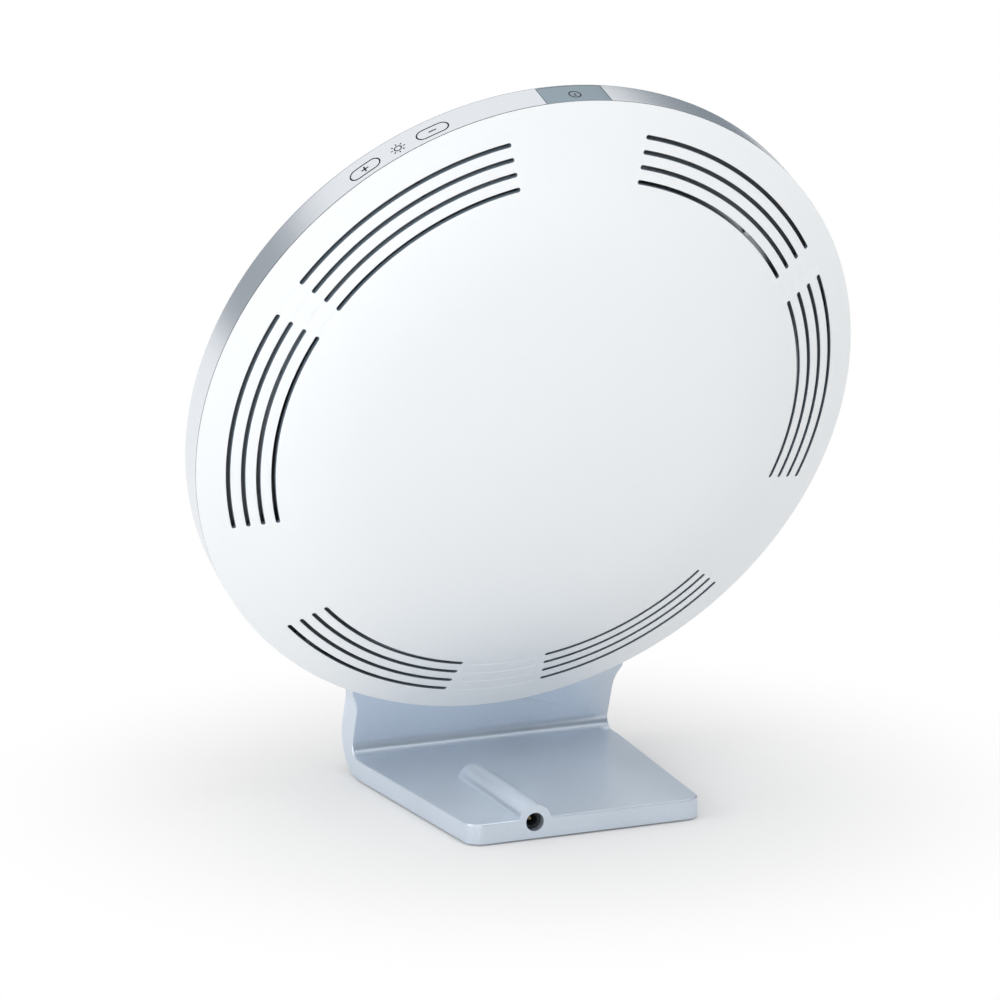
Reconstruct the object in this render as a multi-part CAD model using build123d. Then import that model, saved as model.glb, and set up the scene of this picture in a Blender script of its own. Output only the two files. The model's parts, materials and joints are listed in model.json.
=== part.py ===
from build123d import *
from math import acos, asin, atan2, cos, degrees, radians, sin, sqrt, tan
import os

# Daylight therapy lamp: a round, flat light panel that leans back on an L-shaped foot.
# World frame: millimetres, +Z up, origin on the table under the middle of the footprint.
# The light faces -Y and the vented back faces +Y.
# Head frame: origin at the centre of the rim's front edge, x to the right as seen from
# behind, y up along the panel, z straight back out of the panel ("depth").
# Angles round the head run from the top towards world +X.

# ---------------------------------------------------------------- driving dimensions
# Head
head_tilt = 20.0
neck_height = 41.52
head_radius = 186.0
rim_width = 20.0
rim_wall = 2.5
rim_edge_radius = 3.0
bezel_width = 14.0
bezel_thickness = 2.2
bezel_chamfer = 0.8
seam_gap = 0.25
seam_depth = 1.4

# Rear cover
cover_wall = 2.5
cone_angle = 20.8
cone_width = 40.0
shoulder_width = 48.0
dome_curve_radius = 900.0
vent_margin = 15.6
vent_pitch = 7.3
vent_rows = 4
vent_width = 2.2
vent_arcs = ((12.7, 56.7), (63.3, 107.3), (132.7, 170.6))
groove_arcs = ((57.9, 4.2), (172.2, 15.6), (297.9, 4.2))
groove_depth = 0.6

# Fasteners
screw_radius = 1.25
screw_head_radius = 2.75
screw_head_height = 1.8
low_head_height = 1.2
screw_fit = 0.02
screw_clearance = 0.35
screw_end_gap = 0.5
small_screw_radius = 0.9
small_head_radius = 1.9
small_head_height = 1.2

# Diffuser, gasket and reflector tray
diffuser_clearance = 0.3
diffuser_thickness = 2.5
gasket_thickness = 0.8
skirt_overlap = 1.0
skirt_wall = 2.0
tray_flange_front = 10.0
tray_wall = 2.0
tray_clearance = 1.0
ledge_width = 10.0
ledge_thickness = 1.5
ledge_boss_radius = 3.0
ledge_boss_length = 5.0

# Rim bosses, tray lugs and snap hooks
boss_wall = 0.65
boss_head_clearance = 0.15
lug_width = 8.0
lug_end = 2.2
rear_boss_angles = (75.0, 140.0)
hook_angles = (48.0, 105.0, 163.0)
hook_width = 10.0
hook_wall = 1.8
hook_gap = 0.2
ledge_reach = 1.0
hook_ledge_depth = 11.0
hook_ledge_height = 1.6
hook_barb_height = 1.6

# Light engine
plate_rise = 3.0
plate_thickness = 1.5
plate_margin = 1.5
plate_screw_count = 6
plate_screw_start = 15.0
plate_hole_radius = 6.0
board_thickness = 1.6
board_margin = 4.0
board_inner_radius = 16.0
board_gap = 1.5
board_count = 6
led_ring_pitch = 27.0
led_length = 5.6
led_width = 3.0
led_height = 0.8
link_length = 9.0
link_width = 5.0
link_height = 2.4

# Driver board
driver_length = 96.0
driver_height = 64.0
driver_rise = 54.0
driver_gap = 5.5
driver_screw_reach = 3.1
standoff_inset = 5.0
standoff_radius = 2.5
coil_radius = 8.0
coil_core_radius = 6.5
coil_flange = 2.0
coil_height = 10.0
capacitor_radius = 4.0
capacitor_height = 9.5
capacitor_pitch = 11.0
header_length = 10.0
header_width = 6.0
header_height = 5.0
header_inset = 6.0

# Keys
key_travel = 0.5
key_gap = 0.35
key_depth = 12.6
key_length = 17.8
key_height = 8.1
key_flange = 1.0
key_rest_gap = 0.15
key_inset = 3.9
brightness_angle = 30.15
brightness_half_pitch = 6.05
power_half_angle = 5.6
power_flange_angle = 1.2
power_flange_thickness = 1.2
power_flange_back = 1.0
power_stem_radius = 2.6

# Key boards and their tactile switches
key_board_length = 76.0
key_board_height = 11.0
key_board_thickness = 1.6
key_board_screw_inset = 3.0
key_post_radius = 2.4
switch_size = 6.0
switch_height = 3.0
plunger_radius = 1.75
plunger_reach = 0.9
plunger_fit = 0.08
plunger_end_gap = 0.1

# Stand
foot_lift = 1.0
foot_depth = 162.0
foot_thickness = 10.8
foot_front_width = 153.0
foot_rear_width = 132.0
foot_corner_radius = 9.0
foot_straight = 31.0
foot_edge_radius = 0.8
stand_wall = 2.2
stand_fit = 0.15
upright_front_depth = 3.0
inner_bend_radius = 6.0
outer_bend_radius = 20.6
flare_radius = 22.0
flare_tip = 1.6
neck_side_clearance = 2.7
neck_slot_front = 9.0
neck_rear_clearance = 0.5

# Bracket and ballast
bracket_thickness = 2.0
bracket_width = 44.0
bracket_gap = 1.3
bracket_cover_gap = 2.1
bracket_corner_radius = 4.0
bracket_hole_inset = 7.5
joggle_margin = 1.5
bracket_top_reach = 55.0
stud_low_inset = 13.0
stud_high_inset = 10.0
bracket_foot_reach = 119.0
bracket_foot_holes = (51.0, 107.0)
bracket_boss_radius = 3.5
pilot_skin = 1.2
ballast_length = 92.0
ballast_depth = 84.0
ballast_setback = 79.0
ballast_gap = 0.7
ballast_corner_radius = 5.0
peg_radius = 2.5
peg_inset = 7.0
peg_fit = 0.2
peg_head = 0.8
peg_head_rim = 1.2

# Stand cover fixings and feet
cover_boss_radius = 3.4
cover_screw_margin = 11.7
cover_screw_pitch = 14.0
cover_screw_rear = 23.0
rubber_foot_radius = 6.0
rubber_foot_thickness = 2.0
rubber_foot_chamfer = 0.5
rubber_foot_fit = 0.1
rubber_foot_margin = 14.5
rubber_foot_gap = 0.4
rubber_foot_rear = 13.0

# DC inlet
inlet_x = 29.9
tunnel_radius = 9.3
tunnel_length = 86.0
tunnel_edge_radius = 2.0
recess_radius = 5.0
recess_depth = 4.7
jack_shoulder = 0.6
jack_length = 12.0
jack_bore_radius = 3.15
jack_bore_depth = 9.5
jack_floor = 1.5
jack_pin_radius = 1.05
jack_pin_length = 8.5
jack_clearance = 0.2
jack_rest_height = 1.05
jack_rest_width = 8.0
jack_rest_inset = 2.0

# Leads
lead_diameter = 2.8
lead_channel_radius = 2.6
lead_rise = 1.7
lead_setback = 6.5
lead_neck_inset = 5.5
ribbon_diameter = 2.2
ribbon_stub = 2.6
ribbon_offset = 3.8
ribbon_gap = 0.05

# ---------------------------------------------------------------- derived sizes
tilt = radians(head_tilt)
head_height = neck_height + head_radius * cos(tilt)
foot_bottom = foot_lift
foot_top = foot_lift + foot_thickness
foot_rear = foot_depth / 2
foot_heel = -foot_depth / 2
foot_ceiling = foot_top - stand_wall
cover_top = foot_bottom + stand_wall
bend_reach = outer_bend_radius / tan(radians(90 - head_tilt) / 2)
corner_v = (foot_bottom - head_height + upright_front_depth * sin(tilt)) / cos(tilt)
corner_y = corner_v * sin(tilt) + upright_front_depth * cos(tilt)
head_y = foot_heel + outer_bend_radius - bend_reach - corner_y
head = Plane(
    origin=(0, head_y, head_height),
    x_dir=(-1, 0, 0),
    z_dir=(0, cos(tilt), -sin(tilt)),
)

wall_inner_radius = head_radius - rim_wall
bezel_opening_radius = head_radius - bezel_width
seat_radius = head_radius + stand_fit
cover_base = rim_width + seam_gap
cone_slope = radians(cone_angle)
cone_inner_radius = head_radius - cone_width
dome_edge_radius = cone_inner_radius - shoulder_width
cover_inner_edge = head_radius - cover_wall / sin(cone_slope)
vent_outer_radius = head_radius - vent_margin

boss_angles = (brightness_angle / 2, *rear_boss_angles)
boss_circle_radius = wall_inner_radius - screw_head_radius - boss_head_clearance
boss_radius = screw_head_radius + boss_wall
diffuser_radius = boss_circle_radius - boss_radius - diffuser_clearance
diffuser_back = bezel_thickness + diffuser_thickness
tray_front = diffuser_back + gasket_thickness
tray_flange_back = tray_flange_front + tray_wall
skirt_inner_radius = bezel_opening_radius - skirt_overlap
skirt_outer_radius = skirt_inner_radius + skirt_wall

plate_front = rim_width + plate_rise
plate_back = plate_front + plate_thickness
bracket_back = plate_back + bracket_thickness
engine_radius = (
    cover_inner_edge - (bracket_back + bracket_cover_gap - cover_base) / tan(cone_slope)
)
ledge_front = plate_front - ledge_thickness
ledge_outer_radius = engine_radius - tray_clearance
ledge_inner_radius = ledge_outer_radius - ledge_width
plate_radius = ledge_outer_radius - plate_margin
plate_screw_radius = (ledge_inner_radius + plate_radius) / 2
board_front = plate_front - board_thickness
board_outer_radius = ledge_inner_radius - board_margin
led_ring_count = int((board_outer_radius - led_width) / led_ring_pitch)
board_screw_radius = led_ring_pitch * 2 * (led_ring_count // 2)
link_radius = led_ring_pitch * (led_ring_count - 0.5)
led_terminal_radius = (board_inner_radius + led_ring_pitch - led_width / 2) / 2
driver_front = plate_back + driver_gap
driver_back = driver_front + board_thickness

key_seat_radius = wall_inner_radius - key_inset
switch_top = key_seat_radius - plunger_reach
key_board_outer = switch_top - switch_height
key_board_inner = key_board_outer - key_board_thickness
key_post_x = key_board_length / 2 - key_board_screw_inset
key_pilot_depth = sqrt(wall_inner_radius**2 - key_post_x**2) - key_board_outer

bracket_depth = rim_width - stand_wall - bracket_gap - bracket_thickness
bracket_boss_height = bracket_gap
bracket_foot_top = foot_ceiling - bracket_boss_height
bracket_bend_radius = inner_bend_radius + stand_wall + bracket_gap
bracket_hole_x = bracket_width / 2 - bracket_hole_inset
bracket_pilot_depth = foot_top - pilot_skin - bracket_foot_top
joggle_start = wall_inner_radius - joggle_margin
bracket_top = engine_radius - bracket_top_reach
neck_slot_rear = bracket_depth + bracket_thickness + neck_rear_clearance
neck_slot_half_width = inlet_x + lead_diameter / 2 + neck_side_clearance
neck_middle = (neck_slot_front + neck_slot_rear) / 2
ballast_top = bracket_foot_top - bracket_thickness - ballast_gap
ballast_middle = foot_heel + ballast_setback

jack_radius = recess_radius + jack_shoulder
inlet_z = cover_top + jack_rest_height + jack_radius
jack_face_y = foot_rear - recess_depth
jack_front_y = jack_face_y - jack_length
tunnel_front = foot_rear - tunnel_length
channel_front = tunnel_front + tunnel_edge_radius + 1
lead_level = (ballast_top + foot_ceiling) / 2


# ---------------------------------------------------------------- small helpers
def head_point(x, y, z):
    """World position of a point given in the head frame."""
    return head.from_local_coords(Vector(x, y, z))


def spun(profile):
    """Solid of revolution about the head axis from a closed (radius, depth) profile."""
    return revolve(Plane.XZ * make_face(profile), Axis.Z)


def ring(inner, outer, front, back):
    """Plain ring about the head axis between two depths."""
    solid = Cylinder(outer, back - front, align=(Align.CENTER, Align.CENTER, Align.MIN))
    hole = Cylinder(inner, back - front, align=(Align.CENTER, Align.CENTER, Align.MIN))
    return Pos(0, 0, front) * (solid - hole)


def disc(radius, front, back):
    """Round plate about the head axis between two depths."""
    align = (Align.CENTER, Align.CENTER, Align.MIN)
    return Pos(0, 0, front) * Cylinder(radius, back - front, align=align)


def block(x, y, z):
    """Box between two limits on each axis."""
    box = Box(x[1] - x[0], y[1] - y[0], z[1] - z[0])
    return Pos((x[0] + x[1]) / 2, (y[0] + y[1]) / 2, (z[0] + z[1]) / 2) * box


def turned(angle):
    """Rotation from the top of the head by an angle towards world +X."""
    return Rot(0, 0, angle)


def at_angle(angle, radius, depth=0):
    """Place on the rim whose local y points radially out and z straight back."""
    return turned(angle) * Pos(0, radius, depth)


def both_sides(angles):
    """The angles and their mirror images about the vertical."""
    return [side * angle for angle in angles for side in (1, -1)]


def arc_strip(radius, width, start, size):
    """Flat strip along an arc about the head axis, with radial ends."""
    outer, inner = radius + width / 2, radius - width / 2
    first = 90 + start
    far = CenterArc((0, 0), outer, first, size)
    near = CenterArc((0, 0), inner, first, size)
    ends = Line(far @ 0, near @ 0) + Line(far @ 1, near @ 1)
    return make_face(far + near + ends)


def stadium(length, height):
    """Flat oval with round ends, long along x."""
    return SlotOverall(length, height)


def screw(shank_radius, shank_length, head_r, head_h):
    """Plain screw: hexagon head from z 0 up, eight-sided shank from z 0 down."""
    body = extrude(RegularPolygon(head_r, 6), head_h)
    return body + extrude(RegularPolygon(shank_radius, 8), -shank_length)


def tube(points, radii, diameter):
    """Round lead along straight runs joined by tangent arcs."""
    path = FilletPolyline(*points, radius=radii)
    start = Plane(origin=path @ 0, z_dir=path % 0)
    return sweep(start * Circle(diameter / 2), path=path)


def solids_of(shapes):
    """Compound of separate solids that share one node."""
    return Compound(children=[solid for shape in shapes for solid in shape.solids()])


# ---------------------------------------------------------------- rear cover
def cover_outline(offset):
    """Curves of the cover's outer face moved inwards by an offset, from axis to edge.

    Returns the curve and its two end points: a shallow dome, a shoulder and a cone.
    """
    dome_slope = asin(dome_edge_radius / dome_curve_radius)
    shoulder = shoulder_width / (sin(cone_slope) - sin(dome_slope))
    cone_top = cover_base + cone_width * tan(cone_slope)
    shoulder_z = cone_top - shoulder * cos(cone_slope)
    shoulder_r = cone_inner_radius - shoulder * sin(cone_slope)
    dome_z = shoulder_z + (shoulder - dome_curve_radius) * cos(dome_slope)
    reach = 90 - degrees(dome_slope)
    dome = CenterArc((0, dome_z), dome_curve_radius - offset, reach, degrees(dome_slope))
    bend = CenterArc(
        (shoulder_r, shoulder_z),
        shoulder - offset,
        90 - cone_angle,
        cone_angle - degrees(dome_slope),
    )
    cone_end_r = head_radius - offset / sin(cone_slope)
    cone_end = (cone_end_r, cover_base)
    cone = Line(bend @ 0, cone_end)
    return dome + bend + cone, dome @ 1, cone_end


def cover_solid(offset):
    """Everything under the cover's outer face, moved inwards by an offset."""
    curve, apex, rim = cover_outline(offset)
    sides = Line(apex, (0, cover_base)) + Line((0, cover_base), rim)
    return spun(curve + sides)


def vent_sketch():
    """All open vent slots: concentric arcs, mirrored about the vertical."""
    faces = []
    for row in range(vent_rows):
        radius = vent_outer_radius - row * vent_pitch
        for start, end in vent_arcs:
            faces.append(arc_strip(radius, vent_width, start, end - start))
            faces.append(arc_strip(radius, vent_width, -end, end - start))
    return Sketch() + faces


def groove_sketch():
    """Blind grooves that carry the slots across the closed bridges between them."""
    faces = []
    for row in range(vent_rows):
        radius = vent_outer_radius - row * vent_pitch
        for start, size in groove_arcs:
            faces.append(arc_strip(radius, vent_width, start, size))
    return Sketch() + faces


def hook(angle):
    """Snap hook that hangs from the cover's edge and catches under a rim ledge."""
    outer = wall_inner_radius - ledge_reach - hook_gap
    inner = outer - hook_wall
    tip = hook_ledge_depth - hook_gap - hook_barb_height
    arm = Polyline(
        (inner, rim_width + 1),
        (outer, rim_width + 1),
        (outer, tip + hook_barb_height),
        (outer + ledge_reach - hook_gap, tip + hook_barb_height),
        (outer, tip),
        (inner, tip),
        close=True,
    )
    half = hook_width / 2
    side = extrude(Plane.YZ * make_face(arm), half, both=True)
    return turned(angle) * side


def make_rear_cover():
    """Domed back shell with its vent slots, blind grooves, edge land and snap hooks."""
    outside = cover_solid(0)
    body = outside - cover_solid(cover_wall)
    body += ring(cover_inner_edge, head_radius - seam_depth, rim_width, cover_base)
    tall = head_radius
    body -= extrude(vent_sketch(), tall)
    skin = outside - cover_solid(groove_depth)
    body -= extrude(groove_sketch(), tall) & skin
    for angle in both_sides(hook_angles):
        body += hook(angle)
    return body


# ---------------------------------------------------------------- front frame
def frame_profile():
    """Half section of the rim band and bezel."""
    edge = rim_edge_radius
    arc = CenterArc((head_radius - edge, edge), edge, -90, 90)
    return (
        Line((head_radius, rim_width), arc @ 1)
        + arc
        + Polyline(
            arc @ 0,
            (bezel_opening_radius + bezel_chamfer, 0),
            (bezel_opening_radius, bezel_chamfer),
            (bezel_opening_radius, bezel_thickness),
            (wall_inner_radius, bezel_thickness),
            (wall_inner_radius, rim_width),
            (head_radius, rim_width),
        )
    )


def key_place(angle):
    """Board frame of a key group: y radially out at the group's middle, z back."""
    return turned(angle) * Pos(0, 0, key_depth)


def key_prism(length, height, offset, low, high):
    """Oval bar that points radially out at a distance along the rim."""
    flat = Plane.XZ * stadium(length, height)
    bar = extrude(flat, -(high - low))
    return Pos(offset, low, 0) * bar


def key_offsets():
    """Positions along the rim of the plus and minus keys, from the group's middle."""
    reach = head_radius * sin(radians(brightness_half_pitch))
    return {"plus": -reach, "minus": reach}


def power_sector(margin_angle, inner, outer, front, back):
    """Part of a ring under or around the power key."""
    half = power_half_angle + margin_angle
    width = outer - inner
    strip = arc_strip((inner + outer) / 2, width, -half, 2 * half)
    return Pos(0, 0, front) * extrude(strip, back - front)


def key_post(x):
    """Post from the rim wall that carries one end of a key board."""
    align = (Align.CENTER, Align.CENTER, Align.MIN)
    length = key_pilot_depth + rim_wall / 2
    post = Rot(-90, 0, 0) * Cylinder(key_post_radius, length, align=align)
    return Pos(x, key_board_outer, 0) * post


def key_pilot(x):
    """Pilot hole in a key-board post."""
    align = (Align.CENTER, Align.CENTER, Align.MIN)
    hole = Rot(-90, 0, 0) * Cylinder(small_screw_radius + screw_fit, key_pilot_depth, align=align)
    return Pos(x, key_board_outer, 0) * hole


def make_front_frame():
    """Rim band and bezel in one moulding, with bosses, hook ledges and key openings."""
    body = spun(frame_profile())
    boss_bottom = (Align.CENTER, Align.CENTER, Align.MIN)
    boss_height = tray_flange_front - bezel_thickness
    for angle in both_sides(boss_angles):
        boss = Cylinder(boss_radius, boss_height, align=boss_bottom)
        body += at_angle(angle, boss_circle_radius, bezel_thickness) * boss
        pilot = Cylinder(screw_radius + screw_fit, boss_height, align=boss_bottom)
        body -= at_angle(angle, boss_circle_radius, bezel_thickness) * pilot
    half = hook_width / 2
    for angle in both_sides(hook_angles):
        ledge = block(
            (-half, half),
            (wall_inner_radius - ledge_reach, wall_inner_radius + 0.5),
            (hook_ledge_depth, hook_ledge_depth + hook_ledge_height),
        )
        body += turned(angle) * ledge
    for angle in (0, brightness_angle):
        for x in (-key_post_x, key_post_x):
            body += key_place(angle) * key_post(x)
            body -= key_place(angle) * key_pilot(x)
    low, high = key_seat_radius - rim_wall, head_radius + rim_wall
    for offset in key_offsets().values():
        opening = key_prism(key_length, key_height, offset, low, high)
        body -= key_place(brightness_angle) * opening
    inner, outer = wall_inner_radius - 1, head_radius + 1
    body -= power_sector(0, inner, outer, rim_edge_radius, rim_width + 1)
    body -= neck_slot(0)
    return body


def neck_slot(margin):
    """Opening in the bottom of the rim and in the stand's saddle for bracket and lead."""
    half = neck_slot_half_width + margin
    low = -seat_radius - 2 * stand_wall
    high = -wall_inner_radius * cos(asin(half / wall_inner_radius)) + rim_wall
    return block((-half, half), (low, high), (neck_slot_front - margin, neck_slot_rear + margin))


# ---------------------------------------------------------------- keys and switches
def make_oval_key(name):
    """Plus or minus key: a flush oval cap on a wider flange that stops it falling out."""
    offset = key_offsets()[name]
    high = head_radius + rim_wall
    cap_size = (key_length - 2 * key_gap, key_height - 2 * key_gap)
    flange_size = (key_length + 2 * key_flange, key_height + 2 * key_flange)
    cap = key_prism(*cap_size, offset, key_seat_radius, high)
    flange = key_prism(*flange_size, offset, key_seat_radius, high)
    deep = rim_width
    cap &= Pos(0, 0, -key_depth) * disc(head_radius, 0, deep)
    inside = wall_inner_radius - key_rest_gap
    flange &= Pos(0, 0, -key_depth) * disc(inside, 0, deep)
    return key_place(brightness_angle) * (cap + flange)


def make_power_key():
    """Power key: a full-width segment of the rim with side flanges and a stem."""
    gap_angle = degrees(key_gap / head_radius)
    front, back = rim_edge_radius + key_gap, rim_width - key_gap / 2
    inner = wall_inner_radius - key_rest_gap
    cap = power_sector(-gap_angle, inner, head_radius, front, back)
    flange_inner = inner - power_flange_thickness
    flange_back = back - power_flange_back
    flange = power_sector(power_flange_angle, flange_inner, inner, front, flange_back)
    align = (Align.CENTER, Align.CENTER, Align.MIN)
    length = inner - power_flange_thickness / 2 - key_seat_radius
    stem = Rot(-90, 0, 0) * Cylinder(power_stem_radius, length, align=align)
    return cap + flange + Pos(0, key_seat_radius, key_depth) * stem


def make_key_board(angle):
    """Small circuit board behind a key group, held on two posts."""
    board = block(
        (-key_board_length / 2, key_board_length / 2),
        (key_board_inner, key_board_outer),
        (-key_board_height / 2, key_board_height / 2),
    )
    radius = small_screw_radius + screw_clearance
    hole = Rot(-90, 0, 0) * Cylinder(radius, 3 * key_board_thickness)
    for x in (-key_post_x, key_post_x):
        board -= Pos(x, key_board_inner, 0) * hole
    return key_place(angle) * board


def make_key_board_screws():
    """Two small screws through each key board into its posts."""
    screws = []
    shank = key_board_thickness + key_pilot_depth - screw_end_gap
    one = screw(small_screw_radius, shank, small_head_radius, small_head_height)
    for angle in (0, brightness_angle):
        for x in (-key_post_x, key_post_x):
            place = key_place(angle) * Pos(x, key_board_inner, 0) * Rot(90, 0, 0)
            screws.append(place * one)
    return solids_of(screws)


def make_switch(angle, offset):
    """Square tactile switch body, open on top for its plunger."""
    half = switch_size / 2
    body = block((-half, half), (key_board_outer, switch_top), (-half, half))
    deep = plunger_reach + key_travel + plunger_end_gap
    well_radius = plunger_radius + plunger_fit
    well = Rot(-90, 0, 0) * Cylinder(well_radius, deep * 2)
    body -= Pos(0, switch_top, 0) * well
    return key_place(angle) * Pos(offset, 0, 0) * body


def make_plunger(angle, offset):
    """Round plunger that a key pushes into its switch."""
    align = (Align.CENTER, Align.CENTER, Align.MAX)
    length = 2 * plunger_reach
    pin = Rot(-90, 0, 0) * Cylinder(plunger_radius, length, align=align)
    return key_place(angle) * Pos(offset, key_seat_radius, 0) * pin


# ---------------------------------------------------------------- optics
def make_diffuser():
    """Opal disc behind the bezel."""
    return disc(diffuser_radius, bezel_thickness, diffuser_back)


def make_diffuser_gasket():
    """Foam ring that presses the diffuser against the bezel."""
    return ring(skirt_inner_radius, skirt_outer_radius, diffuser_back, tray_front)


def tray_profile():
    """Half section of the reflector tray: skirt, cone and rear ledge."""
    cone_start = (skirt_inner_radius, tray_flange_back)
    cone_end = (ledge_outer_radius - tray_wall, ledge_front)
    return Polyline(
        (skirt_inner_radius, tray_front),
        cone_start,
        cone_end,
        (ledge_inner_radius, ledge_front),
        (ledge_inner_radius, plate_front),
        (ledge_outer_radius, plate_front),
        (skirt_outer_radius, tray_flange_back + tray_wall / 2),
        (skirt_outer_radius, tray_front),
        close=True,
    )


def make_reflector_tray():
    """White tray round the light chamber, with lugs on the rim bosses."""
    body = spun(tray_profile())
    middle = (tray_flange_front + tray_flange_back) / 2
    hole = Cylinder(screw_radius + screw_clearance, 3 * tray_wall)
    for angle in both_sides(boss_angles):
        lug = block(
            (-lug_width / 2, lug_width / 2),
            (skirt_outer_radius - skirt_wall / 4, boss_circle_radius + lug_end),
            (tray_flange_front, tray_flange_back),
        )
        body += turned(angle) * lug
        body -= at_angle(angle, boss_circle_radius, middle) * hole
    align = (Align.CENTER, Align.CENTER, Align.MAX)
    boss = Cylinder(ledge_boss_radius, ledge_boss_length, align=align)
    pilot = Cylinder(screw_radius + screw_fit, 3 * ledge_boss_length)
    for angle in plate_screw_angles():
        place = at_angle(angle, plate_screw_radius, ledge_front)
        body += place * boss
        body -= place * pilot
    return body


def plate_screw_angles():
    """Angles of the screws round the light-engine plate."""
    step = 360 / plate_screw_count
    return [plate_screw_start + step * index for index in range(plate_screw_count)]


def make_tray_screws():
    """Screws through the tray's lugs into the rim bosses."""
    shank = tray_flange_back - bezel_thickness - screw_end_gap
    one = screw(screw_radius, shank, screw_head_radius, screw_head_height)
    return solids_of(
        at_angle(angle, boss_circle_radius, tray_flange_back) * one
        for angle in both_sides(boss_angles)
    )


# ---------------------------------------------------------------- light engine
def make_led_plate():
    """Aluminium carrier and heat spreader for the LED boards."""
    plate = disc(plate_radius, plate_front, plate_back)
    middle = (plate_front + plate_back) / 2
    plate -= Pos(0, 0, middle) * Cylinder(plate_hole_radius, 3 * plate_thickness)
    clear = Cylinder(screw_radius + screw_clearance, 3 * plate_thickness)
    for angle in plate_screw_angles():
        plate -= at_angle(angle, plate_screw_radius, middle) * clear
    tapped = Cylinder(screw_radius + screw_fit, 3 * plate_thickness)
    for place in board_screw_places():
        plate -= place * Pos(0, 0, middle) * tapped
    for x, y in standoff_points():
        plate -= Pos(x, y, middle) * tapped
    for x, y in stud_points():
        plate -= Pos(x, y, middle) * tapped
    return plate


def sector_angles():
    """Middle angle of each LED board."""
    return [360 / board_count * index for index in range(board_count)]


def board_screw_places():
    """Screw on the middle line of each LED board, on a ring where no LED sits on that line."""
    return [at_angle(sector, board_screw_radius) for sector in sector_angles()]


def make_led_boards():
    """Six sector-shaped LED boards."""
    half = 180 / board_count
    mid_radius = (board_outer_radius + board_inner_radius) / 2
    width = board_outer_radius - board_inner_radius
    sector = arc_strip(mid_radius, width, -half, 2 * half)
    edge = Rectangle(board_gap, 3 * board_outer_radius)
    for side in (-1, 1):
        sector -= Rot(0, 0, side * half) * edge
    board = Pos(0, 0, board_front) * extrude(sector, board_thickness)
    hole = Cylinder(screw_radius + screw_clearance, 3 * board_thickness)
    board -= Pos(0, board_screw_radius, board_front) * hole
    return solids_of(turned(angle) * board for angle in sector_angles())


def make_led_chips():
    """LED packages in rings on the boards' front."""
    chips = []
    z = (board_front - led_height, board_front)
    chip = block((-led_length / 2, led_length / 2), (-led_width / 2, led_width / 2), z)
    for sector in sector_angles():
        for count in range(1, led_ring_count + 1):
            step = 360 / board_count / count
            for index in range(count):
                angle = sector + (index - (count - 1) / 2) * step
                chips.append(at_angle(angle, led_ring_pitch * count) * chip)
    return solids_of(chips)


def make_board_links():
    """Links that bridge the gaps between LED boards, and the terminal that feeds them."""
    z = (board_front - link_height, board_front)
    link = block((-link_length / 2, link_length / 2), (-link_width / 2, link_width / 2), z)
    half = 180 / board_count
    links = [turned(angle + half) * Pos(0, link_radius, 0) * link for angle in sector_angles()]
    return solids_of(links + [Pos(0, led_terminal_radius, 0) * link])


def make_led_board_screws():
    """Screws that clamp the LED boards to the plate."""
    shank = board_thickness + plate_thickness
    one = Rot(180, 0, 0) * screw(screw_radius, shank, screw_head_radius, screw_head_height)
    return solids_of(place * Pos(0, 0, board_front) * one for place in board_screw_places())


def make_led_plate_screws():
    """Screws that hold the plate on the tray's ledge, driven from behind."""
    shank = plate_thickness + ledge_thickness + ledge_boss_length - screw_end_gap
    one = screw(screw_radius, shank, screw_head_radius, screw_head_height)
    return solids_of(
        at_angle(angle, plate_screw_radius, plate_back) * one
        for angle in plate_screw_angles()
    )


# ---------------------------------------------------------------- driver board
def standoff_points():
    """Head x, y of the corners where the driver board stands off the plate."""
    x = driver_length / 2 - standoff_inset
    y = driver_height / 2 - standoff_inset
    return [(side * x, driver_rise + end * y) for side in (-1, 1) for end in (-1, 1)]


def make_driver_board():
    """Control and LED driver board."""
    sketch = Pos(0, driver_rise) * Rectangle(driver_length, driver_height)
    for x, y in standoff_points():
        sketch -= Pos(x, y) * Circle(screw_radius + screw_clearance)
    return Pos(0, 0, driver_front) * extrude(sketch, board_thickness)


def make_driver_standoffs():
    """Hexagonal standoffs with a threaded stub into the plate."""
    parts = []
    pilot = Cylinder(screw_radius + screw_fit, 2 * (driver_screw_reach + screw_end_gap))
    for x, y in standoff_points():
        post = Pos(0, 0, plate_back) * extrude(RegularPolygon(standoff_radius, 6), driver_gap)
        stub = Pos(0, 0, plate_front) * extrude(RegularPolygon(screw_radius, 8), plate_thickness)
        post = post + stub - Pos(0, 0, driver_front) * pilot
        parts.append(Pos(x, y, 0) * post)
    return solids_of(parts)


def make_driver_screws():
    """Screws that hold the driver board on its standoffs."""
    shank = board_thickness + driver_screw_reach
    one = screw(screw_radius, shank, screw_head_radius, screw_head_height)
    return solids_of(Pos(x, y, driver_back) * one for x, y in standoff_points())


def on_driver(x, y):
    """Place on the driver board's rear face, from the board's middle."""
    return Pos(x, driver_rise + y, driver_back)


def make_driver_coil():
    """Power inductor: a drum core with a waist of windings."""
    profile = Polyline(
        (0, 0),
        (coil_radius, 0),
        (coil_radius, coil_flange),
        (coil_core_radius, coil_flange),
        (coil_core_radius, coil_height - coil_flange),
        (coil_radius, coil_height - coil_flange),
        (coil_radius, coil_height),
        (0, coil_height),
        close=True,
    )
    return on_driver(-driver_length / 4, coil_radius) * spun(profile)


def make_driver_capacitors():
    """Three electrolytic capacitors in a row."""
    align = (Align.CENTER, Align.CENTER, Align.MIN)
    can = Cylinder(capacitor_radius, capacitor_height, align=align)
    x = driver_length / 4
    y = driver_height / 2 - 3 * capacitor_radius
    offsets = (-capacitor_pitch, 0, capacitor_pitch)
    return solids_of(on_driver(x + offset, y) * can for offset in offsets)


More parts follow.
